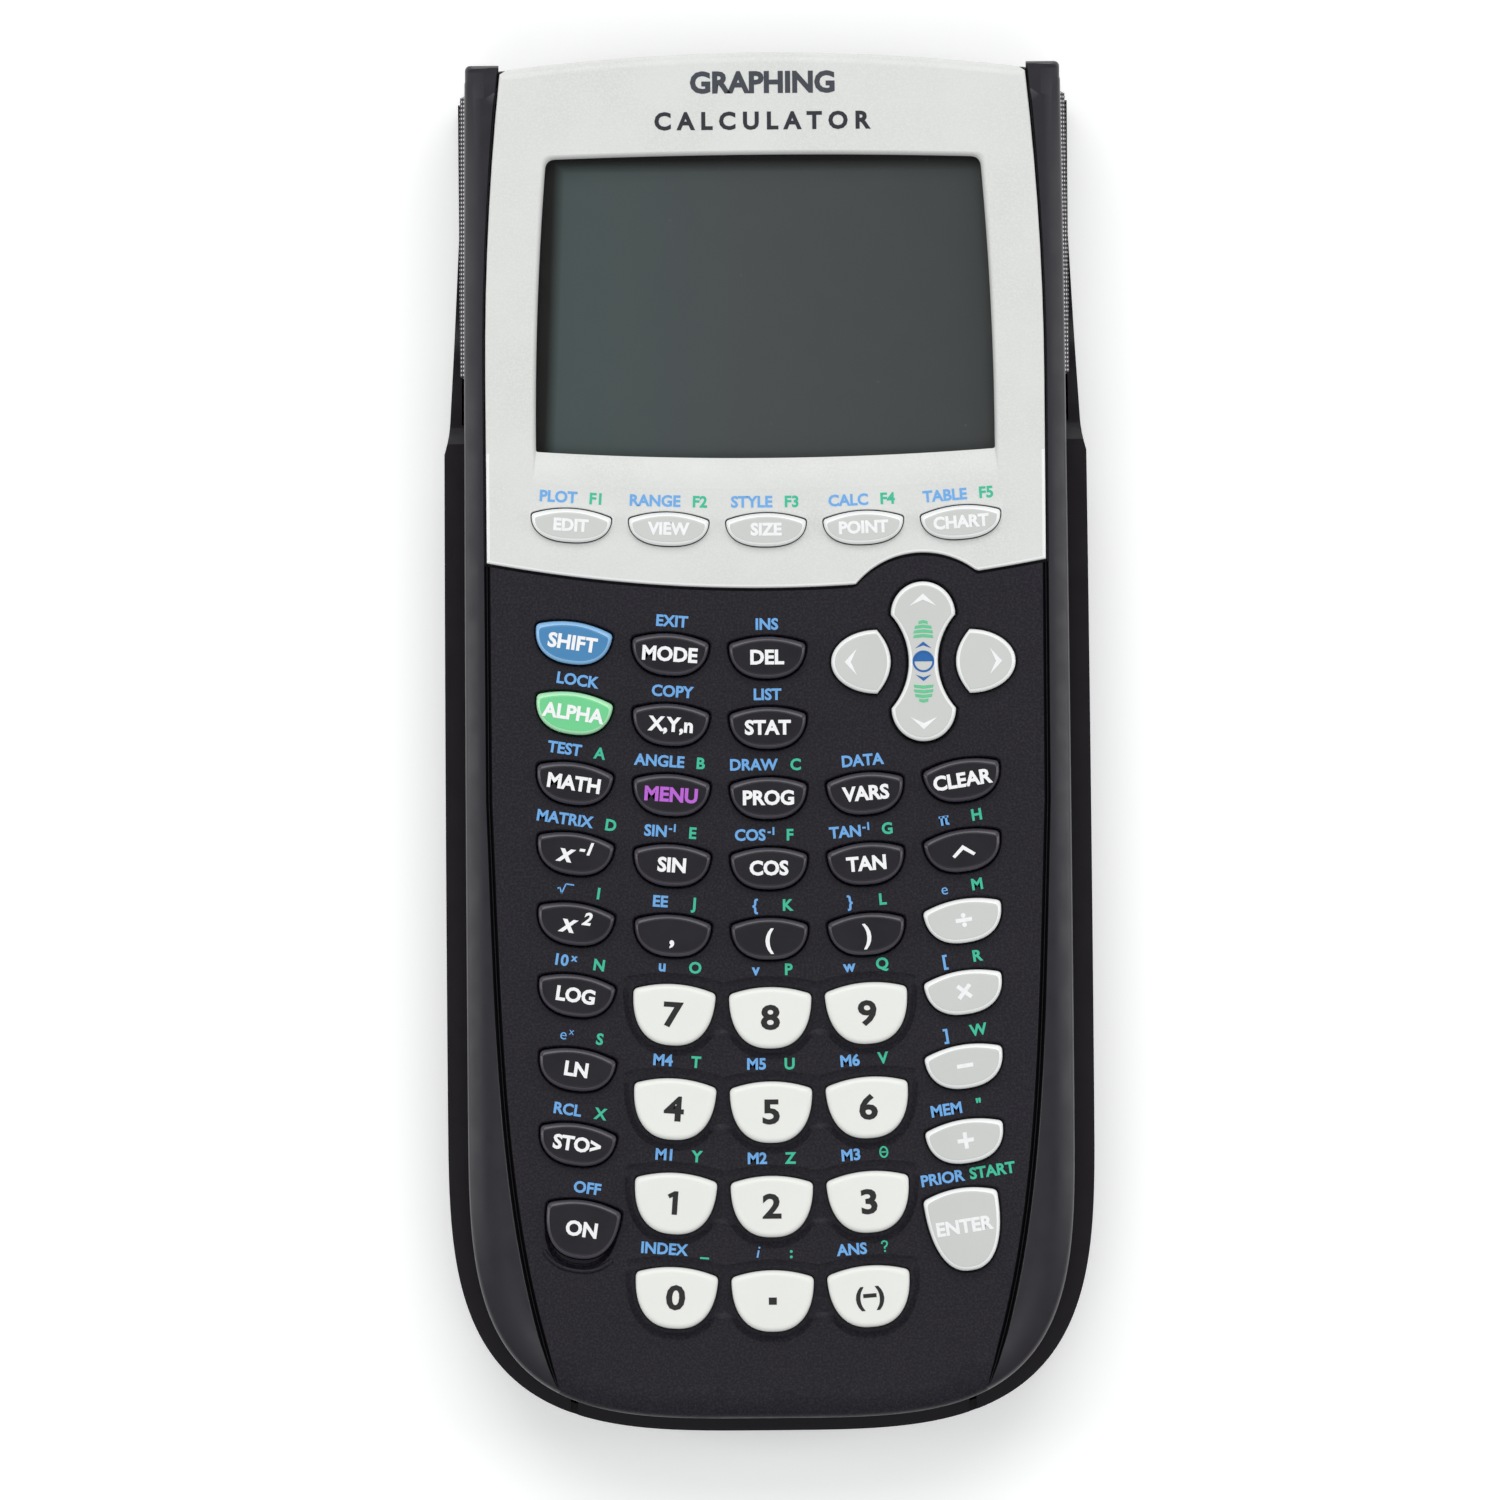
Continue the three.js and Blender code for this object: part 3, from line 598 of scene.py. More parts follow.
def lcd_surface():
    """The unlit display: grey-green, a few dust specks, and its frame's shade along the top and left."""
    n = Nodes("lcd_grey")
    axes = n.axes()
    across = n.remap(axes["X"], -0.031, 0.031, 0.0, 1.0)
    field = n.ramp(across, [(0.0, srgb(88, 101, 100)), (0.45, srgb(87, 91, 92)), (1.0, srgb(80, 83, 82))])
    # painted shadow of the frame: a dark band along the left and top edges
    slant = n.calculate("MULTIPLY_ADD", axes["Y"], -0.042, axes["X"])
    from_left = n.remap(slant, -0.0322, -0.0306, 1.0, 0.0)
    from_top = n.remap(axes["Y"], 0.0785, 0.0802, 0.0, 1.0)
    colour = n.mix(n.calculate("MAXIMUM", from_left, from_top), field, srgb(34, 31, 29))
    dust = n.remap(n.cells(230), 0.0, 0.045, 0.5, 0.0)
    n.base(n.mix(dust, colour, srgb(150, 152, 148)))
    n.rough(300, 3, 0.3, 0.42)
    n.set(Specular_IOR_Level=0.2)
    return n.material


def knurled():
    """The finger grip's hard rubber, with painted highlights on the tops of the knurl's regular bumps."""
    n = Nodes("grip_rubber")
    axes = n.axes()
    turns = [n.calculate("MULTIPLY", axes[axis], 2 * math.pi / (KNURL_PITCH * MM)) for axis in ("Y", "Z")]
    height = n.calculate("ADD", *[n.calculate("COSINE", turn) for turn in turns])
    # painted highlight: light grey on the tops of the knurl's bumps
    bump_highlights = n.remap(height, 0.5, 1.3, 0.0, 1.0)
    n.base(n.mix(bump_highlights, srgb(34, 31, 36), srgb(214, 212, 214)))
    n.rough(900, 2, 0.5, 0.7)
    return n.material


def metal(name, colour, roughness):
    n = Nodes(name)
    grain = 2500
    n.base(n.ramp(n.noise(300, 3), [(0.3, toned(colour, 0.85)), (0.7, colour)]))
    n.rough(grain, 3, roughness * 0.8, roughness * 1.3)
    n.set(Metallic=1.0)
    n.link(n.bump(n.noise(grain, 2), 0.1, 0.00003), n.shader.inputs["Normal"])
    return n.material


def circuit_board():
    """Green solder mask over copper areas."""
    n = Nodes("solder_mask")
    copper = n.remap(n.cells(420), 0.3, 0.34, 0.0, 1.0)
    n.base(n.mix(copper, srgb(18, 92, 48), srgb(10, 62, 34)))
    n.rough(700, 2, 0.25, 0.4)
    n.link(n.bump(copper, 0.3, 0.00003), n.shader.inputs["Normal"])
    return n.material


def cell_wrap():
    """Shrink-wrapped cells: a dark label with a copper-coloured positive end."""
    n = Nodes("cell_wrap")
    band = n.remap(n.axes()["Y"], 0.0615, 0.0617, 0.0, 1.0)
    n.base(n.mix(band, srgb(34, 36, 40), srgb(176, 112, 60)))
    n.rough(500, 2, 0.18, 0.3)
    n.set(Metallic=0.4)
    return n.material


def floor_paint():
    n = Nodes("floor_paint")
    n.base(n.ramp(n.noise(3, 3), [(0.3, srgb(246, 246, 245)), (0.7, srgb(250, 250, 249))]))
    n.set(Roughness=0.9, Specular_IOR_Level=0.1, Emission_Color=(1, 1, 1, 1), Emission_Strength=0.27)
    return n.material


PANEL = moulded("panel_plastic", srgb(20, 16, 27), 0.5, grain=0.8, grain_scale=2300, specular=0.24,
                speckle=0.014)
# painted shade: a near-black colour for the steep walls of the grooves beside the panel
PAINTED_GROOVE_SHADE = moulded("groove_shade", srgb(14, 12, 15), 0.8, specular=0.1)
RAIL = moulded("rail_plastic", srgb(33, 30, 37), 0.34, variation=0.04, specular=0.42)
COVER_PLASTIC = moulded("cover_plastic", srgb(22, 17, 23), 0.36, grain=0.1, specular=0.22)
REAR_PLASTIC = moulded("rear_plastic", srgb(34, 31, 37), 0.5, grain=0.35, grain_scale=3000)
PLATE = moulded("faceplate_plastic", srgb(219, 220, 216), 0.46, grain=0.3, grain_scale=3000, variation=0.03,
                speckle=0.05)
# painted highlight: a lighter white for the sloped faces of the faceplate's lower edge
PLATE_EDGE_HIGHLIGHT = moulded("faceplate_edge_highlight", srgb(244, 244, 243), 0.3, variation=0.01)
DARK_KEY = moulded("dark_key", srgb(27, 24, 31), 0.36, grain=0.08, specular=0.3)
# painted highlight: a lighter band on the rounded rims of the dark keys
DARK_RIM_HIGHLIGHT = moulded("dark_key_rim_highlight", srgb(66, 62, 70), 0.3)
WHITE_KEY = moulded("white_key", srgb(238, 239, 233), 0.36, variation=0.01)
PALE_KEY = moulded("pale_key", srgb(207, 209, 205), 0.4, variation=0.012)
PALE_RIM = moulded("pale_key_rim", srgb(246, 247, 245), 0.3, variation=0.01)
BLUE_KEY = moulded("blue_key", srgb(68, 134, 184), 0.38, variation=0.02)
BLUE_RIM = moulded("blue_key_rim", srgb(140, 190, 232), 0.3, variation=0.02)
GREEN_KEY = moulded("green_key", srgb(114, 212, 146), 0.38, variation=0.02)
GREEN_RIM = moulded("green_key_rim", srgb(176, 238, 188), 0.3, variation=0.02)
WHITE_INK = printed("white_ink", srgb(250, 250, 250))
BLACK_INK = printed("black_ink", srgb(12, 11, 13))
SLATE_INK = printed("slate_ink", srgb(28, 30, 40))
BLUE_INK = printed("blue_ink", srgb(110, 174, 234))
GREEN_INK = printed("green_ink", srgb(54, 194, 154))
PURPLE_INK = printed("purple_ink", srgb(190, 96, 214))
DEEP_BLUE_INK = printed("deep_blue_ink", srgb(22, 100, 172))
SOFT_GREEN_INK = printed("soft_green_ink", srgb(104, 202, 150))
GREY_INK = printed("grey_ink", srgb(58, 62, 70))
GRIP = knurled()
STEEL = metal("plated_steel", srgb(200, 200, 198), 0.25)
BRASS = metal("gold_contact", srgb(214, 176, 100), 0.25)
EPOXY = moulded("chip_epoxy", srgb(24, 24, 26), 0.6)
RUBBER = moulded("silicone", srgb(142, 148, 150), 0.6)
BOARD = circuit_board()


# ---------------------------------------------------------------- keys

FORMS = {
    "small": (10.6, 5.8),
    "operator": (10.8, 6.0),
    "number": (11.35, 8.45),
    "function": (11.0, 4.6),
    "on": (10.3, 8.1),
    "enter": (10.3, 11.4),
}
KEY_TILT = math.radians(0.33)  # turn per millimetre from the middle column
FUNCTION_TILT = math.radians(0.15)
FLANGE = 0.7  # the CAD key's foot is this much wider all round than its cap
TOP_PRINT = 0.045  # a key's top lies this far below its CAD box, which leaves room for the print
PALE = ("pale_keys", PALE_KEY, PALE_RIM, WHITE_INK)
DARK = ("dark_keys", DARK_KEY, DARK_RIM_HIGHLIGHT, WHITE_INK)
WHITE = ("white_keys", WHITE_KEY, WHITE_KEY, BLACK_INK)
BLUE = ("blue_key", BLUE_KEY, BLUE_RIM, WHITE_INK)
GREEN = ("green_key", GREEN_KEY, GREEN_RIM, WHITE_INK)

# node, form, finish, legend, blue label, green label
KEYS = [
    ("f1", "function", PALE, "EDIT", "PLOT", "F1"),
    ("f2", "function", PALE, "VIEW", "RANGE", "F2"),
    ("f3", "function", PALE, "SIZE", "STYLE", "F3"),
    ("f4", "function", PALE, "POINT", "CALC", "F4"),
    ("f5", "function", PALE, "CHART", "TABLE", "F5"),
    ("shift", "small", BLUE, "SHIFT", "", ""),
    ("mode", "small", DARK, "MODE", "EXIT", ""),
    ("delete", "small", DARK, "DEL", "INS", ""),
    ("alpha", "small", GREEN, "ALPHA", "LOCK", ""),
    ("variable", "small", DARK, "X,Y,n", "COPY", ""),
    ("stats", "small", DARK, "STAT", "LIST", ""),
    ("math", "small", DARK, "MATH", "TEST", "A"),
    ("apps", "small", DARK, "MENU", "ANGLE", "B"),
    ("program", "small", DARK, "PROG", "DRAW", "C"),
    ("vars", "small", DARK, "VARS", "DATA", ""),
    ("clear", "small", DARK, "CLEAR", "", ""),
    ("reciprocal", "small", DARK, "x^-1", "MATRIX", "D"),
    ("sin", "small", DARK, "SIN", "SIN^-1", "E"),
    ("cos", "small", DARK, "COS", "COS^-1", "F"),
    ("tan", "small", DARK, "TAN", "TAN^-1", "G"),
    ("power", "small", DARK, "@chevron", "π", "H"),
    ("square", "small", DARK, "x^2", "@root", "I"),
    ("comma", "small", DARK, ",", "EE", "J"),
    ("open_bracket", "small", DARK, "(", "{", "K"),
    ("close_bracket", "small", DARK, ")", "}", "L"),
    ("divide", "operator", PALE, "÷", "e", "M"),
    ("log", "small", DARK, "LOG", "10^x", "N"),
    ("7", "number", WHITE, "7", "u", "O"),
    ("8", "number", WHITE, "8", "v", "P"),
    ("9", "number", WHITE, "9", "w", "Q"),
    ("multiply", "operator", PALE, "×", "[", "R"),
    ("ln", "small", DARK, "LN", "e^x", "S"),
    ("4", "number", WHITE, "4", "M4", "T"),
    ("5", "number", WHITE, "5", "M5", "U"),
    ("6", "number", WHITE, "6", "M6", "V"),
    ("minus", "operator", PALE, "−", "]", "W"),
    ("store", "small", DARK, "STO>", "RCL", "X"),
    ("1", "number", WHITE, "1", "M1", "Y"),
    ("2", "number", WHITE, "2", "M2", "Z"),
    ("3", "number", WHITE, "3", "M3", "@theta"),
    ("plus", "operator", PALE, "+", "MEM", "\""),
    ("on", "on", DARK, "ON", "OFF", ""),
    ("0", "number", WHITE, "0", "INDEX", "_"),
    ("point", "number", WHITE, "@point", "@imaginary", ":"),
    ("negative", "number", WHITE, "(−)", "ANS", "@question"),
    ("enter", "enter", PALE, "ENTER", "PRIOR", "START"),
]


def turned(points, angle, centre):
    c, s = math.cos(angle), math.sin(angle)
    return [(centre[0] + c * x - s * y, centre[1] + s * x + c * y) for x, y in points]


def box_centre(points):
    xs, ys = [p[0] for p in points], [p[1] for p in points]
    return (min(xs) + max(xs)) / 2, (min(ys) + max(ys)) / 2


class Key:
    """A key's place and plan, from its CAD node's box. The further from the middle, the more it is turned."""

    def __init__(self, name, outline_at, tilt_rate=0.0):
        low, high = cad_box("key_" + name)
        middle = ((low.x + high.x) / 2, (low.y + high.y) / 2)
        self.name = name
        self.node = "key_" + name
        self.body = "up_down" if name == "up_down" else name + "_key"
        self.top = high.z - TOP_PRINT
        self.outline_at = outline_at
        self.tilt = tilt_rate * middle[0]
        shift = box_centre(turned(outline_at(FLANGE), self.tilt, (0, 0)))
        self.centre = (middle[0] - shift[0], middle[1] - shift[1])

    def plan(self, grow=0.0):
        return turned(self.outline_at(grow), self.tilt, self.centre)

    def point(self, across, up):
        """A place on the key, from its middle, along its own tilted sides."""
        c, s = math.cos(self.tilt), math.sin(self.tilt)
        return self.centre[0] + across * c - up * s, self.centre[1] + across * s + up * c


def key_of(name, form):
    width, height = FORMS[form]
    rate = FUNCTION_TILT if form == "function" else KEY_TILT
    return Key(name, lambda grow: key_outline(width, height, grow), rate)


KEY_PLACES = {name: key_of(name, form) for name, form, *_ in KEYS}
ARROWS = {
    "left": Key("left", lambda grow: arrow_outline(-1, grow)),
    "right": Key("right", lambda grow: arrow_outline(1, grow)),
    "up_down": Key("up_down", rocker_outline),
}
ALL_PLACES = {**KEY_PLACES, **ARROWS}

# inset from the key's edge and depth below its top, down the rounded rim
RIM = [(0.0, 1.0), (0.0, 0.62), (0.05, 0.42), (0.16, 0.24), (0.32, 0.11), (0.5, 0.03), (0.7, 0.0)]
# the rim's lighter colour starts and ends this far below the key's top; on the dark keys that band is a
# painted highlight
RIM_TOP, RIM_BOTTOM, DARK_HIGHLIGHT_BOTTOM = 0.06, 1.1, 0.36
KEY_FOOT = 20.9


def key_cap(key, top_material, rim_material):
    """A key cap: side wall, rounded rim and a nearly flat top, in two colours; on the dark keys the rim's
    lighter band is a painted highlight.
    """
    rings = [ring(key.plan(), KEY_FOOT)]
    rings += [ring(key.plan(-inset), key.top - drop) for inset, drop in RIM]
    cap = smooth(loft(key.node + "_cap", rings), 50)
    paint(cap, rim_material, top_material)
    rim_bottom = DARK_HIGHLIGHT_BOTTOM if top_material is DARK_KEY else RIM_BOTTOM
    for face in cap.data.polygons:
        drop = key.top - face.center.z / MM
        face.material_index = 0 if RIM_TOP < drop < rim_bottom else 1
    return finish_piece(cap, key.body, None, [key.node])


# ---------------------------------------------------------------- lettering


PRINT_HALF = 0.03  # half the thickness of a drawn sign or letter


def run_mesh(text, size, bold, slant):
    """A thin run of letters of the built-in font. The size is the letters' body in mm."""
    curve = bpy.data.curves.new("run", "FONT")
    curve.body = text
    curve.size = size * MM
    curve.offset = bold * MM
    curve.shear = slant
    curve.resolution_u = 3
    curve.extrude = PRINT_HALF * MM
    obj = linked("run", curve)
    bpy.context.view_layer.update()
    mesh = bpy.data.meshes.new_from_object(obj.evaluated_get(bpy.context.evaluated_depsgraph_get()))
    bpy.data.objects.remove(obj)
    bpy.data.curves.remove(curve)
    return mesh


def span(meshes):
    """The lowest and highest x of some meshes, in metres."""
    values = [v.co.x for mesh in meshes for v in mesh.vertices] or [0.0]
    return min(values), max(values)


def flat_mesh(points):
    """A thin flat solid on an outline."""
    return new_mesh("flat", *loft_data([ring(points, -PRINT_HALF), ring(points, PRINT_HALF)]))


def numeral_one():
    """A one with a flag, in place of the built-in font's plain bar."""
    flag = [(0.34, 1.62), (-0.12, 1.62), (-0.92, 1.08), (-0.66, 0.6), (-0.3, 0.82)]
    return flat_mesh([(-0.3, -1.62), (0.34, -1.62)] + flag)


def stroke(points, thick):
    """A flat line of even width along a path."""
    right, left = [], []
    for i, (x, y) in enumerate(points):
        before, after = points[max(i - 1, 0)], points[min(i + 1, len(points) - 1)]
        along = (Vector(after) - Vector(before)).normalized() * thick / 2
        right.append((x + along.y, y - along.x))
        left.append((x - along.y, y + along.x))
    return flat_mesh(right + left[::-1])


def strokes(points, thick):
    """A flat line with sharp bends: one straight stroke after another."""
    return [stroke(pair, thick) for pair in zip(points, points[1:])]


def theta_meshes(thick):
    """An oval ring with a bar across it."""
    turns = [2 * math.pi * share for share in shares(32)]
    oval = [(0.5 * math.cos(turn), 0.7 * math.sin(turn)) for turn in turns]
    return [stroke(oval, thick), stroke([(-0.46, 0), (0.46, 0)], thick * 0.8)]


def sign_meshes(name):
    """Signs drawn from strokes, where the built-in font's glyph doesn't read well."""
    thick = 0.24
    tick = [(-1.15, -0.1), (-0.85, 0.08), (-0.5, -0.7), (-0.08, 0.66), (1.05, 0.66)]
    stem, dot = [(-0.12, -0.7), (0.08, 0.3)], [(0.14, 0.55), (0.19, 0.8)]
    bow_of_hook = [(-0.38, 0.36), (-0.3, 0.62), (-0.02, 0.74), (0.3, 0.62), (0.38, 0.32)]
    hook = bow_of_hook + [(0.24, 0.06), (0, -0.1), (0, -0.32)]
    signs = {
        "@root": strokes(tick, thick * 0.8),
        "@theta": theta_meshes(thick),
        "@imaginary": [stroke(stem, thick), stroke(dot, thick)],
        "@question": [stroke(hook, thick), stroke([(0, -0.52), (0, -0.78)], thick)],
        "@point": [stroke([(-0.55, -0.1), (0.55, -0.1)], 1.0)],
    }
    return signs[name]


def arrow_mesh(width, rise, thick):
    """A boomerang that points up, centred, with pointed ends."""
    return flat_mesh([(-width / 2, -rise / 2), (0, rise / 2 - thick), (width / 2, -rise / 2), (0, rise / 2)])


def chevron_mesh(width, rise, thick):
    """A plain chevron that points up, centred, with cut ends."""
    left = [(-width / 2, -rise / 2), (-width / 2 + thick * 0.5, -rise / 2 - thick * 0.45)]
    return flat_mesh(left + [(0, rise / 2 - thick)] + mirrored(left) + [(0, rise / 2)])


CAP_MIDDLE = 0.35  # half the height of a capital, as a share of the letters' size
RAISED_SIZE, RAISED_GAP, RAISED_LIFT = 0.66, 0.12, 0.36  # of a raised ending, as shares of the size


def label_meshes(text, size, bold, slant=0.0):
    """The meshes of a legend, centred on the origin. A caret starts a raised, smaller ending."""
    if text == "@chevron":
        return [chevron_mesh(size * 1.2, size * 0.5, size * 0.24)]
    if text.startswith("@"):
        return sign_meshes(text)
    if text == "1":
        return [numeral_one()]
    parts = text.split("^")
    meshes = [run_mesh(parts[0], size, bold, slant)]
    if len(parts) > 1:
        small = run_mesh(parts[1], size * RAISED_SIZE, bold * 0.8, slant)
        shift = span(meshes)[1] - span([small])[0] + RAISED_GAP * size * MM
        small.transform(Matrix.Translation((shift, RAISED_LIFT * size * MM, 0)))
        meshes.append(small)
    low, high = span(meshes)
    for mesh in meshes:
        mesh.transform(Matrix.Translation((-(low + high) / 2, -CAP_MIDDLE * size * MM, 0)))
    return meshes


def lettering(name, items, material, body):
    """One object of many labels. Each item is (meshes, x, y, z, tilt), in millimetres and radians."""
    bm = bmesh.new()
    for meshes, x, y, z, tilt in items:
        place = Matrix.Translation((x * MM, y * MM, z * MM)) @ Matrix.Rotation(tilt, 4, "Z")
        for mesh in meshes:
            mesh.transform(place)
            bm.from_mesh(mesh)
            bpy.data.meshes.remove(mesh)
    whole = bpy.data.meshes.new(name)
    bm.to_mesh(whole)
    bm.free()
    return finish_piece(linked(name, whole), body, material)


LEGEND_SIZES = {"small": 2.7, "operator": 4.4, "number": 4.6, "function": 2.3, "on": 2.8, "enter": 2.6}
SINGLE_SIGN_SIZE, NEGATIVE_SIZE = 3.6, 3.3
LEGEND_BOLD = 0.1
DIGIT_WIDTH = 1.15  # the digits are wider than the built-in font draws them
LABEL_SIZE, LABEL_BOLD = 2.15, 0.07
BLUE_MIDDLE, GREEN_MIDDLE = -1.95, 2.6  # from a key's middle to its two labels, if they are short
LABEL_RISE = {"function": 1.6, "number": 2.45}  # from the top of a key to the middle of its labels
USUAL_LABEL_RISE = 1.75
PRINT_LIFT = 0.012


def legend_size(name, form, legend):
    """The size of the letters on a key."""
    if name == "negative":
        return NEGATIVE_SIZE
    if form == "small" and len(legend.split("^")[0]) == 1:
        return SINGLE_SIGN_SIZE
    return LEGEND_SIZES[form]


def add_key(name, form, finish, legend):
    key = KEY_PLACES[name]
    slot, top, rim, ink = finish
    key_cap(key, top, rim)
    if name == "apps":
        ink = PURPLE_INK
    bold = LEGEND_BOLD * (1.4 if form == "number" else 1.0)
    slant = 0.25 if legend.startswith("x") else 0.0
    meshes = label_meshes(legend, legend_size(name, form, legend), bold, slant)
    if form == "number" and legend.isdigit():
        for mesh in meshes:
            mesh.transform(Matrix.Diagonal((DIGIT_WIDTH, 1, 1, 1)))
    place = (*key.point(0, 0.5 if form == "enter" else 0.1), key.top + PRINT_LIFT, key.tilt)
    lettering(key.node + "_legend", [(meshes, *place)], ink, key.body)


def add_secondary_labels():
    """The blue and green labels printed above the keys. A lone blue label stands over the key's middle."""
    blue, green = [], []
    wide_gap, narrow_gap = 1.7, 0.7
    for name, form, _finish, _legend, left, right in KEYS:
        key = KEY_PLACES[name]
        rise = FORMS[form][1] / 2 + LABEL_RISE.get(form, USUAL_LABEL_RISE)
        z = (PLATE_Z if form == "function" else PANEL_Z) + PRINT_LIFT
        middle = BLUE_MIDDLE if right else 0.0
        reach = 0.0
        for text, items in ((left, blue), (right, green)):
            if not text:
                continue
            meshes = label_meshes(text, LABEL_SIZE, 0.0 if text.startswith("e") else LABEL_BOLD)
            low, high = span(meshes)
            width = (high - low) / MM
            if items is green:
                gap = wide_gap if len(text) < 3 or form == "function" else narrow_gap
                middle = max(GREEN_MIDDLE, reach + gap + width / 2)
            reach = middle + width / 2
            items.append((meshes, *key.point(middle, rise), z, key.tilt))
    lettering("blue_labels", blue, BLUE_INK, CASE)
    lettering("green_labels", green, GREEN_INK, CASE)


def add_heading():
    """A plain generic heading on the faceplate."""
    lines = (("GRAPHING", 4.0, 0.16, 90.9, GREY_INK), ("C A L C U L A T O R", 3.3, 0.12, 85.6, SLATE_INK))
    for text, size, bold, y, ink in lines:
        items = [(label_meshes(text, size, bold), 0, y, PLATE_Z + PRINT_LIFT, 0)]
        lettering("heading_line", items, ink, CASE)


# ---------------------------------------------------------------- arrow pad


def arc_points(radius, start, end, steps):
    """Points on a circle round the origin."""
    angles = [start + (end - start) * share for share in shares(steps)]
    return [(radius * math.cos(a), radius * math.sin(a)) for a in angles]


PAGING_BARS = (1.38, 1.36, 1.2, 0.66)  # half their widths, from the rocker's middle outwards
PAGING_START, PAGING_PITCH, BAR_THICK = 3.2, 0.64, 0.42


def upright_marks(way):
    """The paging bars and the small arrowhead on one side (1 or -1) of the rocker's middle."""
    bars = []
    for i, half in enumerate(PAGING_BARS):
        low = PAGING_START + PAGING_PITCH * i
        high = low + BAR_THICK
        bars.append([(-half, low), (0, low + 0.12), (half, low), (half * 0.92, high), (0, high + 0.16),
                     (-half * 0.92, high)])
    head = [(-1.1, 1.82), (0, 2.2), (1.1, 1.82), (0, 2.72)]
    placed = [[(x, way * y) for x, y in points][::way] for points in bars + [head]]
    return placed[:-1], placed[-1]


def rocker_prints():
    """The rocker's prints: striped paging arrows, and a contrast sign between two small arrowheads."""
    key = ARROWS["up_down"]
    whole = 2 * math.pi - 0.001
    circle = arc_points(1.5, 0, whole, 48) + arc_points(1.22, 0, whole, 48)[::-1]
    green, blue = [], []
    for way in (1, -1):
        bars, head = upright_marks(way)
        green += bars
        blue.append(head)
    blue += [circle, arc_points(1.25, 0, math.pi, 24)]
    place = (*key.centre, key.top + PRINT_LIFT, 0)
    green = [([flat_mesh(points)], *place) for points in green]
    blue = [([flat_mesh(points)], *place) for points in blue]
    lettering("rocker_paging_marks", green, SOFT_GREEN_INK, key.body)
    lettering("rocker_contrast_marks", blue, DEEP_BLUE_INK, key.body)


def add_arrow_pad():
    for name, key in ARROWS.items():
        key_cap(key, PALE_KEY, PALE_RIM)
    # across and up from the key's middle, and the turn in degrees
    marks = {"left": [(-1.4, 0, 90)], "right": [(1.4, 0, -90)], "up_down": [(0, 8.5, 0), (0, -8.5, 180)]}
    for name, spots in marks.items():
        key = ARROWS[name]
        items = []
        for dx, dy, angle in spots:
            place = (key.centre[0] + dx, key.centre[1] + dy, key.top + PRINT_LIFT)
            items.append(([arrow_mesh(3.7, 1.7, 0.85)], *place, math.radians(angle)))
        lettering(key.node + "_chevrons", items, WHITE_INK, key.body)
    rocker_prints()


# ---------------------------------------------------------------- front housing


KEY_GAP, ROCKER_GAP = 0.14, 0.3


def key_wells(places, surface):
    """Cutters for the key holes, each flared into a small chamfer at the surface."""
    wells = []
    for key in places:
        grow = ROCKER_GAP if key.name == "up_down" else KEY_GAP
        steps = [(grow, PANEL_UNDERSIDE - 1), (grow, surface - 0.24), (grow + 0.06, surface - 0.1),
                 (grow + 0.22, surface), (grow + 0.3, surface + 0.2)]
        wells.append(loft("well", [ring(key.plan(g), z) for g, z in steps]))
    return wells


NUMBER_ROWS = [("7", "8", "9"), ("4", "5", "6"), ("1", "2", "3"), ("0", "point", "negative")]
RECESS = 0.36  # the depth of the number keys' recesses
RECESS_MARGIN = 1.05
NECK_HALF, NECK_TALL, NECK_RISE = 3.2, 3.1, 0.35  # of the waist between two number keys: half sizes, and up
UPPER_WAVE, LOWER_WAVE = 0.35, 0.5


def flared(points_at, depth, surface):
    """A cutter with a soft edge: it widens towards the surface."""
    steps = [(-0.45, -depth), (-0.12, -depth * 0.82), (0.1, -depth * 0.45), (0.42, -0.03), (0.5, 0.05)]
    return loft("recess", [ring(points_at(g), surface + z) for g, z in steps])


def number_recesses():
    """Each row of number keys sits in one shallow scalloped recess."""
    cutters = []
    for row in NUMBER_ROWS:
        places = [KEY_PLACES[name] for name in row]
        for key in places:
            cutters.append(flared(lambda g, key=key: key.plan(RECESS_MARGIN + g), RECESS, PANEL_Z))
        for a, b in zip(places, places[1:]):
            x = (a.centre[0] + b.centre[0]) / 2
            y = (a.centre[1] + b.centre[1]) / 2 + NECK_RISE
            tilt = (a.tilt + b.tilt) / 2

            def neck(grow, x=x, y=y, tilt=tilt):
                tall = NECK_TALL + grow
                waves = [(NECK_HALF * (1 - 2 * share), math.cos(2 * math.pi * share)) for share in shares(12)]
                top = [(across, tall + UPPER_WAVE * wave) for across, wave in waves]
                low = [(-across, -tall - LOWER_WAVE * wave) for across, wave in waves]
                return turned(top + low, tilt, (x, y))

            cutters.append(flared(neck, RECESS, PANEL_Z))
    return cutters


def power_trench():
    """The trench below the power key, between the key and its ridge."""
    key = KEY_PLACES["on"]
    drop, inset, depth = 1.45, 0.4, 0.7
    moved = key.point(0, -drop)
    return flared(lambda grow: turned(key.outline_at(grow - inset), key.tilt, moved), depth, PANEL_Z)


# half the groove's width at each height from the panel
GROOVE_SECTION = [(0.05, -1.3), (0.3, -0.7), (0.42, -0.2), (0.5, -0.06), (0.6, 0.0), (0.7, 0.1)]


def rail_groove(side):
    """The long groove between a side rail and the panel, with rounded lips."""
    heights = range(97, -98, -3)

    def edge(offset):
        return [(side * (panel_half_at(y) + offset), y) for y in heights]

    rings = []
    for half, z in GROOVE_SECTION:
        points = edge(half) + edge(-half)[::-1]
        rings.append(ring(points if side < 0 else points[::-1], PANEL_Z + z))
    return loft("groove", rings)


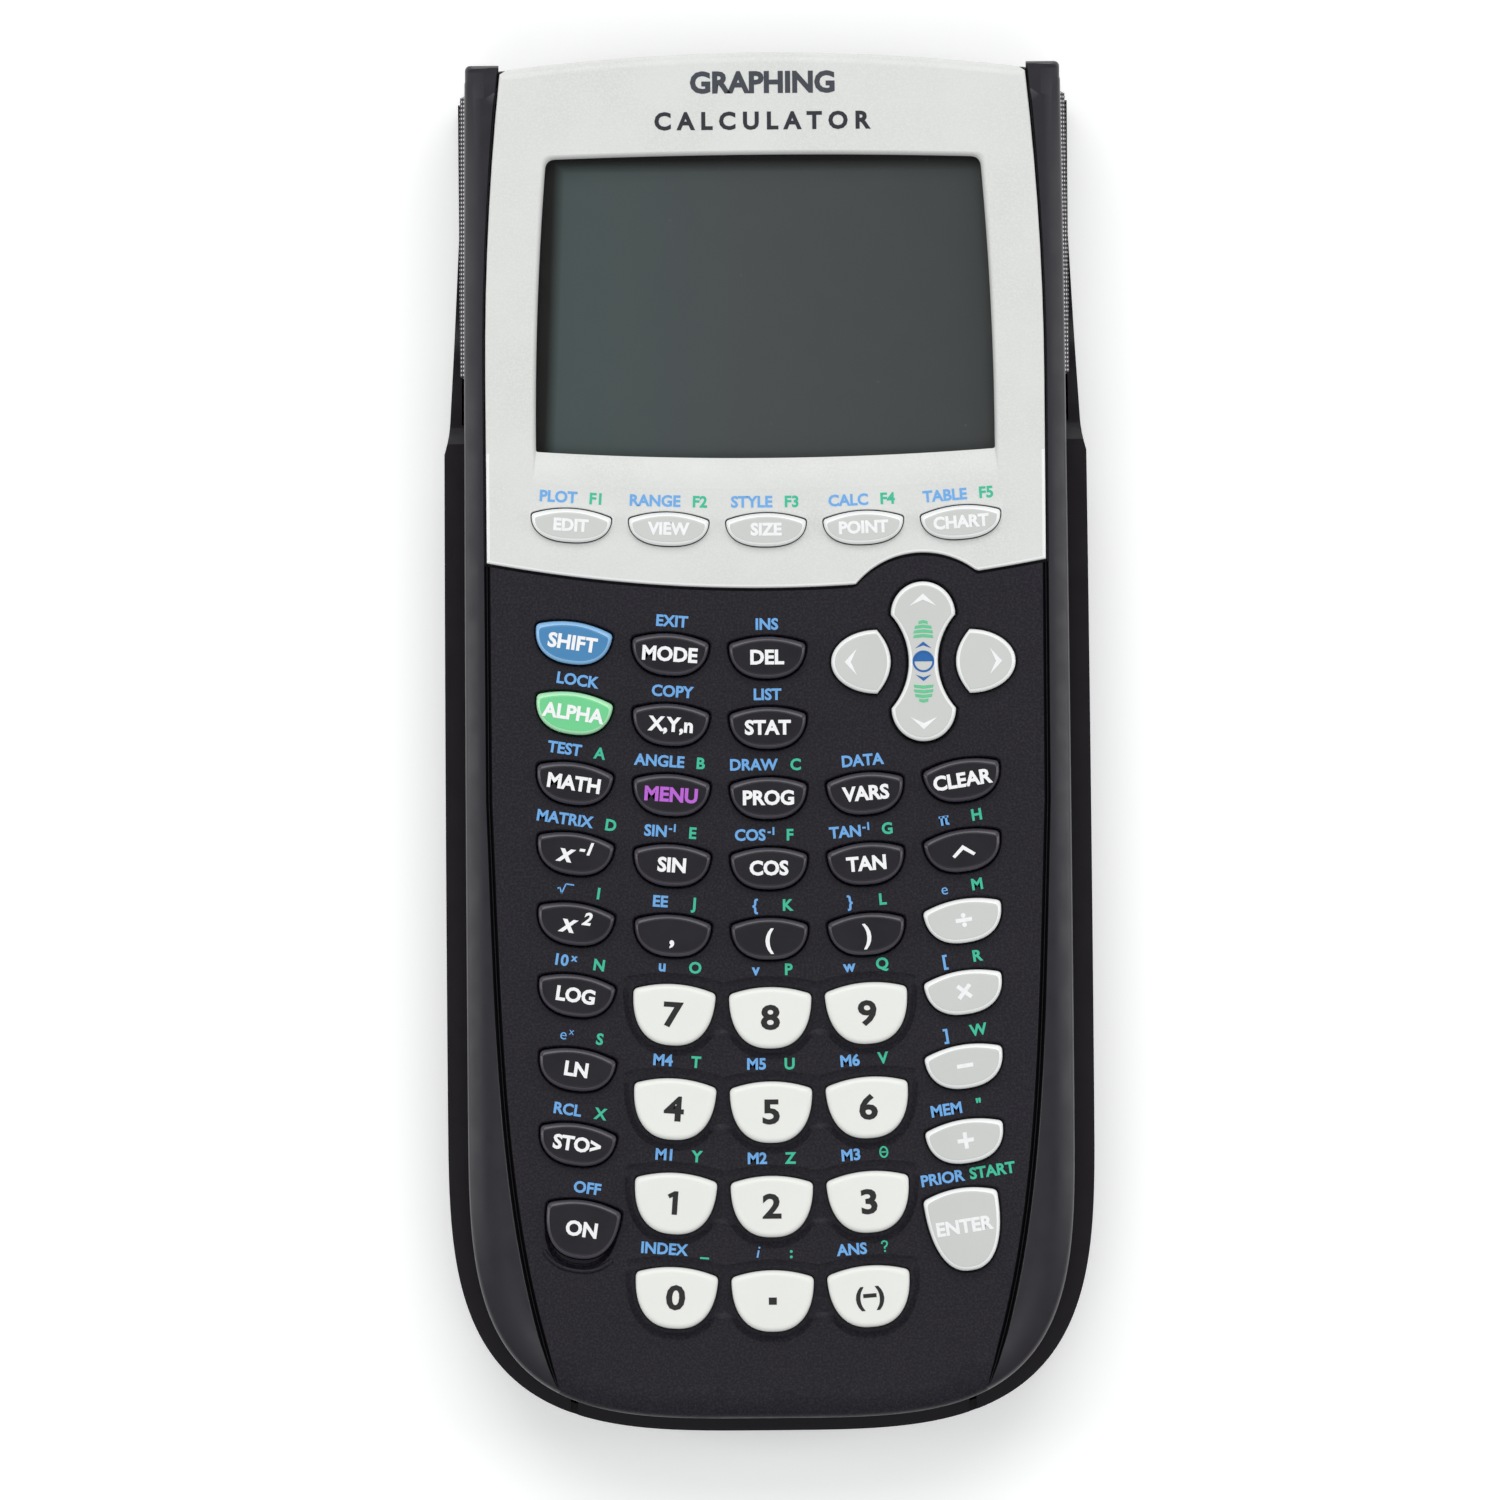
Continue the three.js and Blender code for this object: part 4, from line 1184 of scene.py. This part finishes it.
SCREW_PLACES = [(side * x, y) for side in (-1, 1) for x, y in ((37.2, 70), (37.2, 0), (30, -80))]
BOSS_RADIUS = 2.4


def bosses(z, radius):
    """The posts round the housing screws."""
    return [tube("boss", (x, y, z[0]), "z", radius, z[1] - z[0]) for x, y in SCREW_PLACES]


USB_X, USB_HALF, USB_Z = 14.0, 3.9, (17.4, 21.2)
JACK_X, JACK_RADIUS, JACK_Z = -14.0, 2.3, 19.5
PORT_Y = (84.5, 93.6)  # the sockets' inner and outer ends
LIP_THICK = 2.0  # of the faceplate's skin over the display end
SEAT_PLAY = 0.3  # between the housing and what is set into its display end


def usb_hole(y, margin):
    """The socket's outline is a box with its lower corners cut."""
    half, low, high = USB_HALF + margin, USB_Z[0] - margin, USB_Z[1] + margin
    notch = 1.1
    left = [(-half, high), (-half, low + notch), (-half + notch, low)]
    section = left + mirrored(left)
    return loft("usb", [[(USB_X + x, depth, z) for x, z in section] for depth in y])


def folded_end(grow, thickness, z):
    """The faceplate's skin over the display end."""
    whole = prism("fold", faceplate_outline(grow), z)
    inside = prism("inside", body_outline(-thickness), (z[0] - 1, z[1] + 1))
    return cut(whole, inside, block("below", (-60, 60), (-100, 80), (0, ABOVE)))


# the housing's edge: a small radius, and then a long gentle slope up to the panel
HOUSING_RIM = [
    (0.0, 2.4), (0.02, 2.1), (0.1, 1.78), (0.24, 1.5), (0.44, 1.28), (0.7, 1.1), (1.1, 0.9), (1.6, 0.68),
    (2.2, 0.46), (2.8, 0.28), (3.4, 0.14), (4.0, 0.04), (4.6, 0.0),
]
RAIL_END_Y = (89, 93.5)
# inset and drop below the panel, from the rail end's wall inwards
RAIL_END_RIM = [(0, 2.2), (0.1, 1.7), (0.35, 1.3), (0.8, 1.0), (1.6, 0.6), (2.6, 0.25)]


def rail_end(side):
    """The square end of a side rail, which reaches past the arch of the faceplate."""
    low, high = RAIL_END_Y
    inner, outer, corner = panel_half_at(high) + 0.3, 40.95, 0.7

    def plan(inset):
        end = high - min(inset, 0.35)
        rounding = [(outer - inset - corner * (1 - math.cos(t)), end - corner * (1 - math.sin(t)))
                    for t in (0, 0.4, 0.8, 1.2, math.pi / 2)]
        points = [(inner, low), (outer - inset, low)] + rounding + [(inner, end)]
        return points if side > 0 else mirrored(points)

    rings = [ring(plan(0), 16)] + [ring(plan(inset), PANEL_Z - drop) for inset, drop in RAIL_END_RIM]
    return loft("rail_end", rings)


FRONT_WALL, UPPER_WALL, LEDGE_Z = 2.4, 3.8, 19  # the wall is thicker above the ledge
GUIDE_Z, GUIDE_DEPTH = (13.6, 15.6), 1.1  # the groove round the housing that the cover's guides run in


def hollowed_front():
    """The front housing's shell with its rail ends, its inside and the cover's guide groove."""
    shell = profiled_prism("front_shell", body_outline, (FRONT_LOW, PANEL_Z), HOUSING_RIM)
    shell = joined(shell, rail_end(-1), rail_end(1))
    lower = prism("hollow", body_outline(-FRONT_WALL), (FRONT_LOW - 1, LEDGE_Z))
    upper = prism("hollow", body_outline(-UPPER_WALL), (LEDGE_Z - 1, PANEL_UNDERSIDE))
    core = prism("core", body_outline(-GUIDE_DEPTH), (13, 16))
    guide = cut(prism("guide", body_outline(2), GUIDE_Z), core)
    return cut(shell, lower, upper, guide)


def paint_front(shell):
    """Panel, rails, and painted shade on the steep walls of the grooves between them."""
    paint(shell, PANEL, RAIL, PAINTED_GROOVE_SHADE)
    groove_reach, rail_drop = 0.8, 2.3
    for face in shell.data.polygons:
        x, y, z = face.center / MM
        beside = abs(x) - panel_half_at(y)
        in_groove_shade = abs(beside) < groove_reach and z > PANEL_Z - 1.6 and abs(face.normal.x) > 0.55
        face.material_index = 2 if in_groove_shade else 1 if beside > 0 or z < PANEL_Z - rail_drop else 0


def make_front_housing():
    shell = hollowed_front()
    shell = joined(shell, *bosses((FRONT_LOW + 0.1, PANEL_UNDERSIDE + 0.2), BOSS_RADIUS))
    seat = prism("seat", faceplate_outline(0.42), (22.4, ABOVE))
    end_seat = folded_end(SEAT_PLAY, LIP_THICK + SEAT_PLAY, (LIP_LOW - SEAT_PLAY, ABOVE))
    display_hole = prism("display_hole", display_outline(2), (PANEL_UNDERSIDE - 1, ABOVE))
    jack = tube("jack", (JACK_X, PORT_Y[0], JACK_Z), "y", JACK_RADIUS + SEAT_PLAY, 20)
    shell = cut(shell, seat, end_seat, display_hole, usb_hole((PORT_Y[0], 100), SEAT_PLAY), jack)
    shell = cut(shell, rail_groove(-1), rail_groove(1))
    shell = cut(shell, *number_recesses(), power_trench())
    shell = cut(shell, *key_wells(ALL_PLACES.values(), PANEL_Z))
    paint_front(smooth(shell))
    finish_piece(shell, CASE, None, ["front_housing"])


RIDGE_OFFSET = 1.65  # from the power key's edge
RIDGE_FLANK = [(-0.34, -0.2), (-0.34, 0.12), (-0.2, 0.34)]
RIDGE_SECTION = RIDGE_FLANK + [(0.0, 0.42)] + mirrored(RIDGE_FLANK)


def add_power_ridge():
    """The raised crescent that guards the power key from below. It sinks away towards both ends."""
    key = KEY_PLACES["on"]
    width, height = FORMS["on"]
    path = sorted(p for p in key_outline(width, height, RIDGE_OFFSET) if p[1] < -height * 0.42)
    rings = []
    last = len(path) - 1
    for i, (x, y) in enumerate(path):
        ahead, behind = path[min(i + 1, last)], path[max(i - 1, 0)]
        length = math.hypot(ahead[0] - behind[0], ahead[1] - behind[1])
        nx, ny = -(ahead[1] - behind[1]) / length, (ahead[0] - behind[0]) / length
        share = math.sin(math.pi * (0.04 + 0.92 * i / last)) ** 0.35
        loop = [(x + nx * u, y + ny * u, PANEL_Z + v * share) for u, v in RIDGE_SECTION]
        flat = turned([(p[0], p[1]) for p in loop], key.tilt, key.centre)
        rings.append([(fx, fy, p[2]) for (fx, fy), p in zip(flat, loop)])
    ridge = smooth(loft("power_ridge", rings[::-1]), 60)
    finish_piece(ridge, CASE, PANEL)


# ---------------------------------------------------------------- faceplate and display


def display_bevel():
    """The cutter for the display opening: steep on three sides, and a long soft ramp below."""
    rings = [ring(display_outline(0), 20)]
    depth, height, width, ramp = 0.95, 0.97, 0.75, 4.2
    for t in shares(8):
        z = PLATE_Z - depth + height * math.sin(t * math.pi / 2)
        rings.append(ring(display_outline(width * t**1.5, ramp * t**1.15), z))
    return loft("display_bevel", rings)


PLATE_RIM = [(0, 0.5), (0.07, 0.24), (0.22, 0.07), (0.45, 0.0)]  # inset and drop, from the edge inwards


def make_faceplate():
    top = rounded_prism("top", body_outline, (LIP_LOW - 1, PLATE_Z), 1.4, 1.4, True, 8)
    plate = profiled_prism("plate", faceplate_outline, (PLATE_LOW, PLATE_Z), PLATE_RIM)
    lip = folded_end(0, LIP_THICK, (LIP_LOW, PLATE_Z - 1.0))
    plate = common(joined(plate, lip), top)
    jack = tube("jack", (JACK_X, 90, JACK_Z), "y", JACK_RADIUS + 1.2, 20)
    plate = cut(plate, display_bevel(), usb_hole((90, 100), 1.0), jack)
    plate = cut(plate, *key_wells([KEY_PLACES["f%d" % i] for i in range(1, 6)], PLATE_Z))
    smooth(plate, 24)
    paint(plate, PLATE, PLATE_EDGE_HIGHLIGHT)
    # painted highlight on the sloped faces along the plate's lower edge
    for face in plate.data.polygons:
        highlight_edge = face.center.y < 33 * MM and 0.1 < face.normal.z < 0.98
        face.material_index = 1 if highlight_edge and face.center.z > (PLATE_Z - 0.5) * MM else 0
    finish_piece(plate, CASE, None, ["faceplate"])


def make_display():
    low, high = cad_box("display_window")
    window = profiled_prism("display_pane", lambda grow: display_outline(1.5 + grow), (low.z, high.z),
                            [(0, 0.15), (0.15, 0)])
    finish_piece(smooth(window), CASE, display_glass(), ["display_window"])
    low, high = cad_box("lcd_module")
    glass_low = low.z + 1.4
    carrier = block("carrier", (low.x, high.x), (low.y, high.y), (low.z, glass_low))
    glass = block("glass", (low.x + 0.9, high.x - 0.9), (low.y + 1.6, high.y - 0.2), (glass_low, high.z))
    paint(carrier, EPOXY)
    paint(glass, lcd_surface())
    lcd = gather("lcd_panel", [carrier, glass])
    finish_piece(lcd, CASE, None, ["lcd_module"])


# ---------------------------------------------------------------- slide cover


CUTAWAY_Y, CUTAWAY_END = 40, 100  # the cutaways start here and end beyond the display end
CUTAWAY_FLOOR, SLOPE_LENGTH, SLOPE_RISE = 4, 20, 11.4


def cover_half_beside(y):
    """Half the cover's width beside the finger grips: a long slow flare and then a shoulder."""
    shoulder = max(0.0, 44.5 - y) / 4.5
    return 42.1 + 0.053 * max(0.0, 70 - y) + 0.6 * shoulder**2


def grip_cutaways(side):
    """What is cut from the cover beside the finger grips."""
    slope = []
    for t in shares(16):
        fall = (0.5 + 0.5 * math.cos(math.pi * t)) ** 1.25
        slope.append((CUTAWAY_Y + SLOPE_LENGTH * t, CUTAWAY_FLOOR + SLOPE_RISE * fall))
    profile = slope + [(CUTAWAY_END, CUTAWAY_FLOOR), (CUTAWAY_END, ABOVE), (CUTAWAY_Y, ABOVE)]
    xs = (38, 50) if side > 0 else (-50, -38)
    above = loft("above", [[(x, y, z) for y, z in profile] for x in xs])
    heights = [CUTAWAY_Y + 0.5 * i for i in range(11)] + [52, 60, 70, CUTAWAY_END]
    flare = [(cover_half_beside(y), y) for y in heights]
    plan = [(51, CUTAWAY_Y)] + flare + [(51, CUTAWAY_END)]
    beside = prism("beside", mirrored(plan)[::-1] if side < 0 else plan[::-1], (-1, ABOVE))
    return [above, beside]


COVER_FLOOR, COVER_PLAY, GUIDE_REACH = 1.8, 0.4, 0.6
NOTCH_X, NOTCH_DEPTH = 27.5, 1.6  # the two small notches in the rim of the cover's closed end


def make_cover():
    hull = rounded_prism("cover_shell", cover_outline, (0, COVER_HIGH), 6.5, 8, False, 16)
    inside = rounded_prism("inside", lambda grow: body_outline(grow + COVER_PLAY), (COVER_FLOOR, 14), 5, 6,
                           False, 14)
    mouth = prism("mouth", body_outline(-GUIDE_REACH), (13, ABOVE))
    hull = cut(hull, inside, mouth, *grip_cutaways(-1), *grip_cutaways(1))
    notches = []
    for x in (-NOTCH_X, NOTCH_X):
        z = (COVER_HIGH - NOTCH_DEPTH, COVER_HIGH + 1)
        notches.append(block("notch", (x - 0.5, x + 0.5), (-96, -89), z))
    hull = cut(hull, *notches)
    hull = cut(hull, *cover_back_grooves())
    smooth(hull)
    finish_piece(hull, COVER, COVER_PLASTIC, ["slide_cover"])


THUMB_ROWS, THUMB_Y, THUMB_PITCH = 6, 58, 2.6
THUMB_BEND = 0.012  # how far a groove curves, times its x squared
THUMB_SECTION = [(0.62, -0.1), (0.55, 0.05), (0.32, 0.4), (0.12, 0.5)]  # half the width at each height


def cover_back_grooves():
    """Curved thumb grooves across the back of the cover, near its open end."""
    grooves = []
    for row in range(THUMB_ROWS):
        reach = 16 - 1.2 * abs(row - 2.5)
        y0 = THUMB_Y + THUMB_PITCH * row
        middle = [(x, y0 + THUMB_BEND * x * x) for x in [reach * (2 * share - 1) for share in shares(20)]]
        rings = []
        for half, z in THUMB_SECTION:
            upper = [(x, y + half) for x, y in middle]
            lower = [(x, y - half) for x, y in reversed(middle)]
            rings.append(ring((upper + lower)[::-1], z))
        grooves.append(loft("thumb_groove", rings))
    return grooves


# ---------------------------------------------------------------- rear housing

BAY_Y, BAY_TOP = 46.0, 15.1
DOOR_WIDTH, DOOR_LENGTH, DOOR_PLAY = 47.4, 51.4, 0.3
CELL_X, CELL_Y, CELL_RADIUS = 31.6, 30.0, 5.8
REAR_STEP = 0.4  # the rear housing is this much smaller than the front one all round
REAR_WALL = 1.8


def bay_block(margin, z):
    """The battery bay's block, larger than the door by its play and a margin."""
    half_x, half_y = DOOR_WIDTH / 2 + DOOR_PLAY + margin, DOOR_LENGTH / 2 + DOOR_PLAY + margin
    return block("bay", (-half_x, half_x), (BAY_Y - half_y, BAY_Y + half_y), z)


def make_rear_housing():
    """The rear shell with its screw posts, battery bay, backup cell's cup and label recess."""
    def outline_at(grow):
        return body_outline(grow - REAR_STEP)

    def inside_at(grow):
        return body_outline(grow - REAR_STEP - REAR_WALL)

    shell = rounded_prism("rear_shell", outline_at, (REAR_LOW, REAR_HIGH), 5, 6, False, 14)
    hollow = rounded_prism("hollow", inside_at, (REAR_LOW + REAR_WALL, REAR_HIGH + 1), 5, 5, False, 8)
    shell = cut(shell, hollow)
    shell = joined(shell, *bosses((REAR_LOW + 1.5, REAR_HIGH), BOSS_RADIUS))
    shell = joined(shell, bay_block(1.2, (REAR_LOW + 0.5, BAY_TOP + 0.5)))
    cup_low = cad_box("backup_cell")[0].z
    shell = joined(shell, tube("cup", (CELL_X, CELL_Y, REAR_LOW + 1.3), "z", CELL_RADIUS + 1.3, 4.5))
    shell = cut(shell, tube("cup", (CELL_X, CELL_Y, cup_low - 0.3), "z", CELL_RADIUS + 0.3, 5))
    shell = cut(shell, bay_block(0, (REAR_LOW - 1, BAY_TOP)))
    wells = [tube("screw_well", (x, y, REAR_LOW - 1), "z", 1.9, 2.2) for x, y in SCREW_PLACES]
    label_recess = block("label_recess", (-22, 22), (-62, -34), (REAR_LOW - 1, REAR_LOW + 0.25))
    shell = cut(shell, label_recess, *wells)
    smooth(shell)
    finish_piece(shell, CASE, REAR_PLASTIC, ["rear_housing"])


def add_screws():
    """Six cross-head screws in the back."""
    screws = []
    long, narrow = 0.95, 0.2  # half the length and width of a slot
    for x, y in SCREW_PLACES:
        head = tube("screw", (x, y, REAR_LOW + 0.5), "z", 1.55, 0.7, 32, 1.6)
        slots = []
        for half_x, half_y in ((long, narrow), (narrow, long)):
            plan = (x - half_x, x + half_x), (y - half_y, y + half_y)
            slots.append(block("slot", *plan, (REAR_LOW, REAR_LOW + 0.95)))
        screws.append(cut(head, *slots))
    finish_piece(smooth(gather("back_screws", screws)), CASE, STEEL)


DOOR_CORNER = 1.5
DOOR_RIM = [(0.35, 0.0), (0.1, 0.1), (0.0, 0.35)]  # inset and height above the door's outer face
DIP_SECTION = [(7.2, -0.2), (6.6, 0.2), (4.5, 0.6), (2.5, 0.7)]  # radius at each height
DOOR_RIDGES, RIDGE_PITCH, RIDGE_WIDTH = 5, 1.6, 0.7


def door_outline(grow):
    """The battery door's plan, with round corners."""
    low, high = cad_box("battery_door")
    half_x = (high.x - low.x) / 2 + grow - DOOR_CORNER
    half_y = (high.y - low.y) / 2 + grow - DOOR_CORNER
    points = []
    for side, end, start in ((1, -1, -90), (1, 1, 0), (-1, 1, 90), (-1, -1, 180)):
        corner = arc_points(DOOR_CORNER, math.radians(start), math.radians(start + 90), 6)
        points += [(side * half_x + x, BAY_Y + end * half_y + y) for x, y in corner]
    return points


def make_battery_door():
    low, high = cad_box("battery_door")
    rings = [ring(door_outline(-inset), low.z + rise) for inset, rise in DOOR_RIM]
    plate = loft("door_plate", rings + [ring(door_outline(0), high.z)])
    latch_y = high.y - 5
    circle = arc_points(1, 0, 2 * math.pi, 40)[:-1]
    dip = []
    for radius, z in DIP_SECTION:
        dip.append(ring([(x * radius, latch_y + y * radius) for x, y in circle], low.z + z))
    ridges = []
    for y in [low.y + 4 + RIDGE_PITCH * i for i in range(DOOR_RIDGES)]:
        ridges.append(block("ridge", (-9, 9), (y, y + RIDGE_WIDTH), (low.z - 1, low.z + 0.3)))
    plate = cut(plate, loft("finger_dip", dip), *ridges)
    finish_piece(smooth(plate), CASE, REAR_PLASTIC, ["battery_door"])


GRIP_Y, GRIP_Z, GRIP_THICK = (50.2, 89.8), (8.7, 12.7), 1.05
GRIP_HALF = 42.05  # half the width over the grips, inside the cover's narrow part
KNURL_HEIGHT = 0.05


def grip_x(y, t, end):
    """The grip's surface beside the middle, at the share t of its height. The end is 0 on its end edges."""
    z = GRIP_Z[0] + (GRIP_Z[1] - GRIP_Z[0]) * t
    bulge = min(1.0, 6 * t) * min(1.0, 1.9 * (1 - t))
    knurl = KNURL_HEIGHT * sum(math.cos(2 * math.pi * place / KNURL_PITCH) for place in (y, z))
    x = BODY_HALF - REAR_STEP - taper_at(y) + (GRIP_THICK + knurl) * bulge * end
    return min(x, GRIP_HALF), z


def add_finger_grips():
    """A knurled strip down each side near the display end."""
    rows = round((GRIP_Y[1] - GRIP_Y[0]) / KNURL_PITCH) * 4
    columns = 40
    width = columns + 1
    for side, name in ((-1, "finger_grip_left"), (1, "finger_grip_right")):
        verts, faces = [], []
        for i, share in enumerate(shares(rows)):
            y = GRIP_Y[0] + (GRIP_Y[1] - GRIP_Y[0]) * share
            end = min(1.0, min(i, rows - i) / 4)
            for t in shares(columns):
                x, z = grip_x(y, t, end)
                verts.append((side * x, y, z))
        for i in range(rows):
            for j in range(columns):
                quad = (i * width + j, (i + 1) * width + j, (i + 1) * width + j + 1, i * width + j + 1)
                faces.append(quad if side > 0 else quad[::-1])
        grip = new_object(name, verts, faces)
        solid = grip.modifiers.new("thickness", "SOLIDIFY")
        solid.thickness = 0.4 * MM
        solid.offset = -1
        finish_piece(smooth(grip, 180), CASE, GRIP)


# ---------------------------------------------------------------- inside


BOARD_LOW, BOARD_TOP = 15.8, 17.4
# x and y of the middle, width, length and height below the board
CHIPS = [(-12, 2, 20, 20, 1.6), (14, 4, 12, 18, 1.2), (-8, -26, 14, 9, 1.2)]
CHIP_BEVEL = 0.3


def chip(x, y, width, length, height):
    """A package under the board, with a bevelled face."""
    rings = []
    for inset, rise in ((CHIP_BEVEL, 0), (0, CHIP_BEVEL), (0, height)):
        half_x, half_y = width / 2 - inset, length / 2 - inset
        signs = ((-1, -1), (1, -1), (1, 1), (-1, 1))
        corners = [(x + side * half_x, y + end * half_y) for side, end in signs]
        rings.append(ring(corners, BOARD_LOW - height + rise))
    return loft("package", rings)


def make_board():
    """The circuit board with its packages, crystal and capacitor can."""
    plate = prism("board_plate", body_outline(-3), (BOARD_LOW, BOARD_TOP))
    plate = cut(plate, *bosses((BOARD_LOW - 1, BOARD_TOP + 1), BOSS_RADIUS + 0.3))
    finish_piece(smooth(plate), CASE, BOARD, ["main_board"])
    packages = [chip(*measures) for measures in CHIPS]
    finish_piece(gather("board_chips", packages), CASE, EPOXY)
    crystal = block("crystal", (14.5, 25.5), (-24.5, -19.5), (BOARD_LOW - 3.6, BOARD_LOW))
    can = tube("can", (-24, -50, BOARD_LOW - 5.4), "z", 3.1, 5.4)
    finish_piece(smooth(gather("board_cans", [crystal, can])), CASE, STEEL)


def add_ports():
    """The two sockets that show at the display end."""
    shell = cut(usb_hole(PORT_Y, 0), usb_hole((PORT_Y[1] - 6, 100), -0.35))
    finish_piece(smooth(shell), CASE, STEEL)
    shell.name = "usb_socket"
    tongue = block("usb_tongue", (USB_X - 2.4, USB_X + 2.4), (PORT_Y[1] - 6.2, PORT_Y[1] - 0.8), (18.9, 19.6))
    finish_piece(tongue, CASE, EPOXY)
    barrel = tube("link_jack", (JACK_X, PORT_Y[0], JACK_Z), "y", JACK_RADIUS, PORT_Y[1] - PORT_Y[0])
    barrel = cut(barrel, tube("bore", (JACK_X, PORT_Y[1] - 8, JACK_Z), "y", 1.25, 20))
    finish_piece(smooth(barrel), CASE, EPOXY)
    collar = tube("link_jack_contact", (JACK_X, PORT_Y[1] - 4, JACK_Z), "y", 1.24, 3.6)
    collar = cut(collar, tube("bore", (JACK_X, PORT_Y[1] - 8, JACK_Z), "y", 1.05, 20))
    finish_piece(smooth(collar), CASE, BRASS)


def dress_inner_nodes():
    """Inner CAD nodes keep their shape and get a procedural finish."""
    for node, material in (("battery_cells", cell_wrap()), ("backup_cell", STEEL), ("dome_sheet", RUBBER)):
        paint(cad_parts[node], material)


# ---------------------------------------------------------------- studio


def add_camera():
    """Straight above, turned half a degree, with the object a little right of and above the middle."""
    camera = linked("camera", bpy.data.cameras.new("camera"))
    camera.data.sensor_width = 36
    camera.data.lens = 800
    picture_width, left, down, turn = 0.2066, 0.00248, 0.0011, -0.5
    distance = picture_width * camera.data.lens / camera.data.sensor_width
    camera.location = (-left, -down, PANEL_Z * MM + distance)
    camera.rotation_euler = Euler((0, 0, math.radians(turn)))
    camera.data.clip_end = 10
    scene.camera = camera


def area_light(name, place, target, size, power):
    data = bpy.data.lights.new(name, "AREA")
    data.energy = power
    data.shape = "RECTANGLE"
    data.size, data.size_y = size
    light = linked(name, data)
    light.location = place
    light.rotation_euler = (Vector(target) - Vector(place)).to_track_quat("-Z", "Y").to_euler()


def add_studio():
    """A pale floor, a soft sky, a key light, a card in front and a strip on each side."""
    far = 3000
    corners = [(-far, -far, 0), (far, -far, 0), (far, far, 0), (-far, far, 0)]
    floor = new_object("floor", corners, [(0, 1, 2, 3)])
    paint(floor, floor_paint())
    floor.location.z = -0.0001
    world = bpy.data.worlds.new("studio")
    world.use_nodes = True
    world.node_tree.nodes["Background"].inputs["Color"].default_value = (0.95, 0.97, 1.0, 1)
    world.node_tree.nodes["Background"].inputs["Strength"].default_value = 0.4
    scene.world = world
    area_light("key", (0, 0.8, 1.05), (0, 0, 0), (1.3, 0.8), 9)
    area_light("front_card", (0, -0.55, 1.3), (0, 0, 0), (1.2, 0.6), 3)
    for name, x in (("left_strip", -0.8), ("right_strip", 0.8)):
        area_light(name, (x, 0.0, 0.3), (0, 0, 0.02), (0.2, 0.9), 1.6)
    scene.view_settings.view_transform = "Standard"


# ---------------------------------------------------------------- build

add_camera()
add_studio()
make_front_housing()
add_power_ridge()
make_faceplate()
make_display()
make_cover()
make_rear_housing()
add_screws()
make_battery_door()
add_finger_grips()
make_board()
add_ports()
dress_inner_nodes()
for name, form, finish, legend, _blue, _green in KEYS:
    add_key(name, form, finish, legend)
add_secondary_labels()
add_heading()
add_arrow_pad()
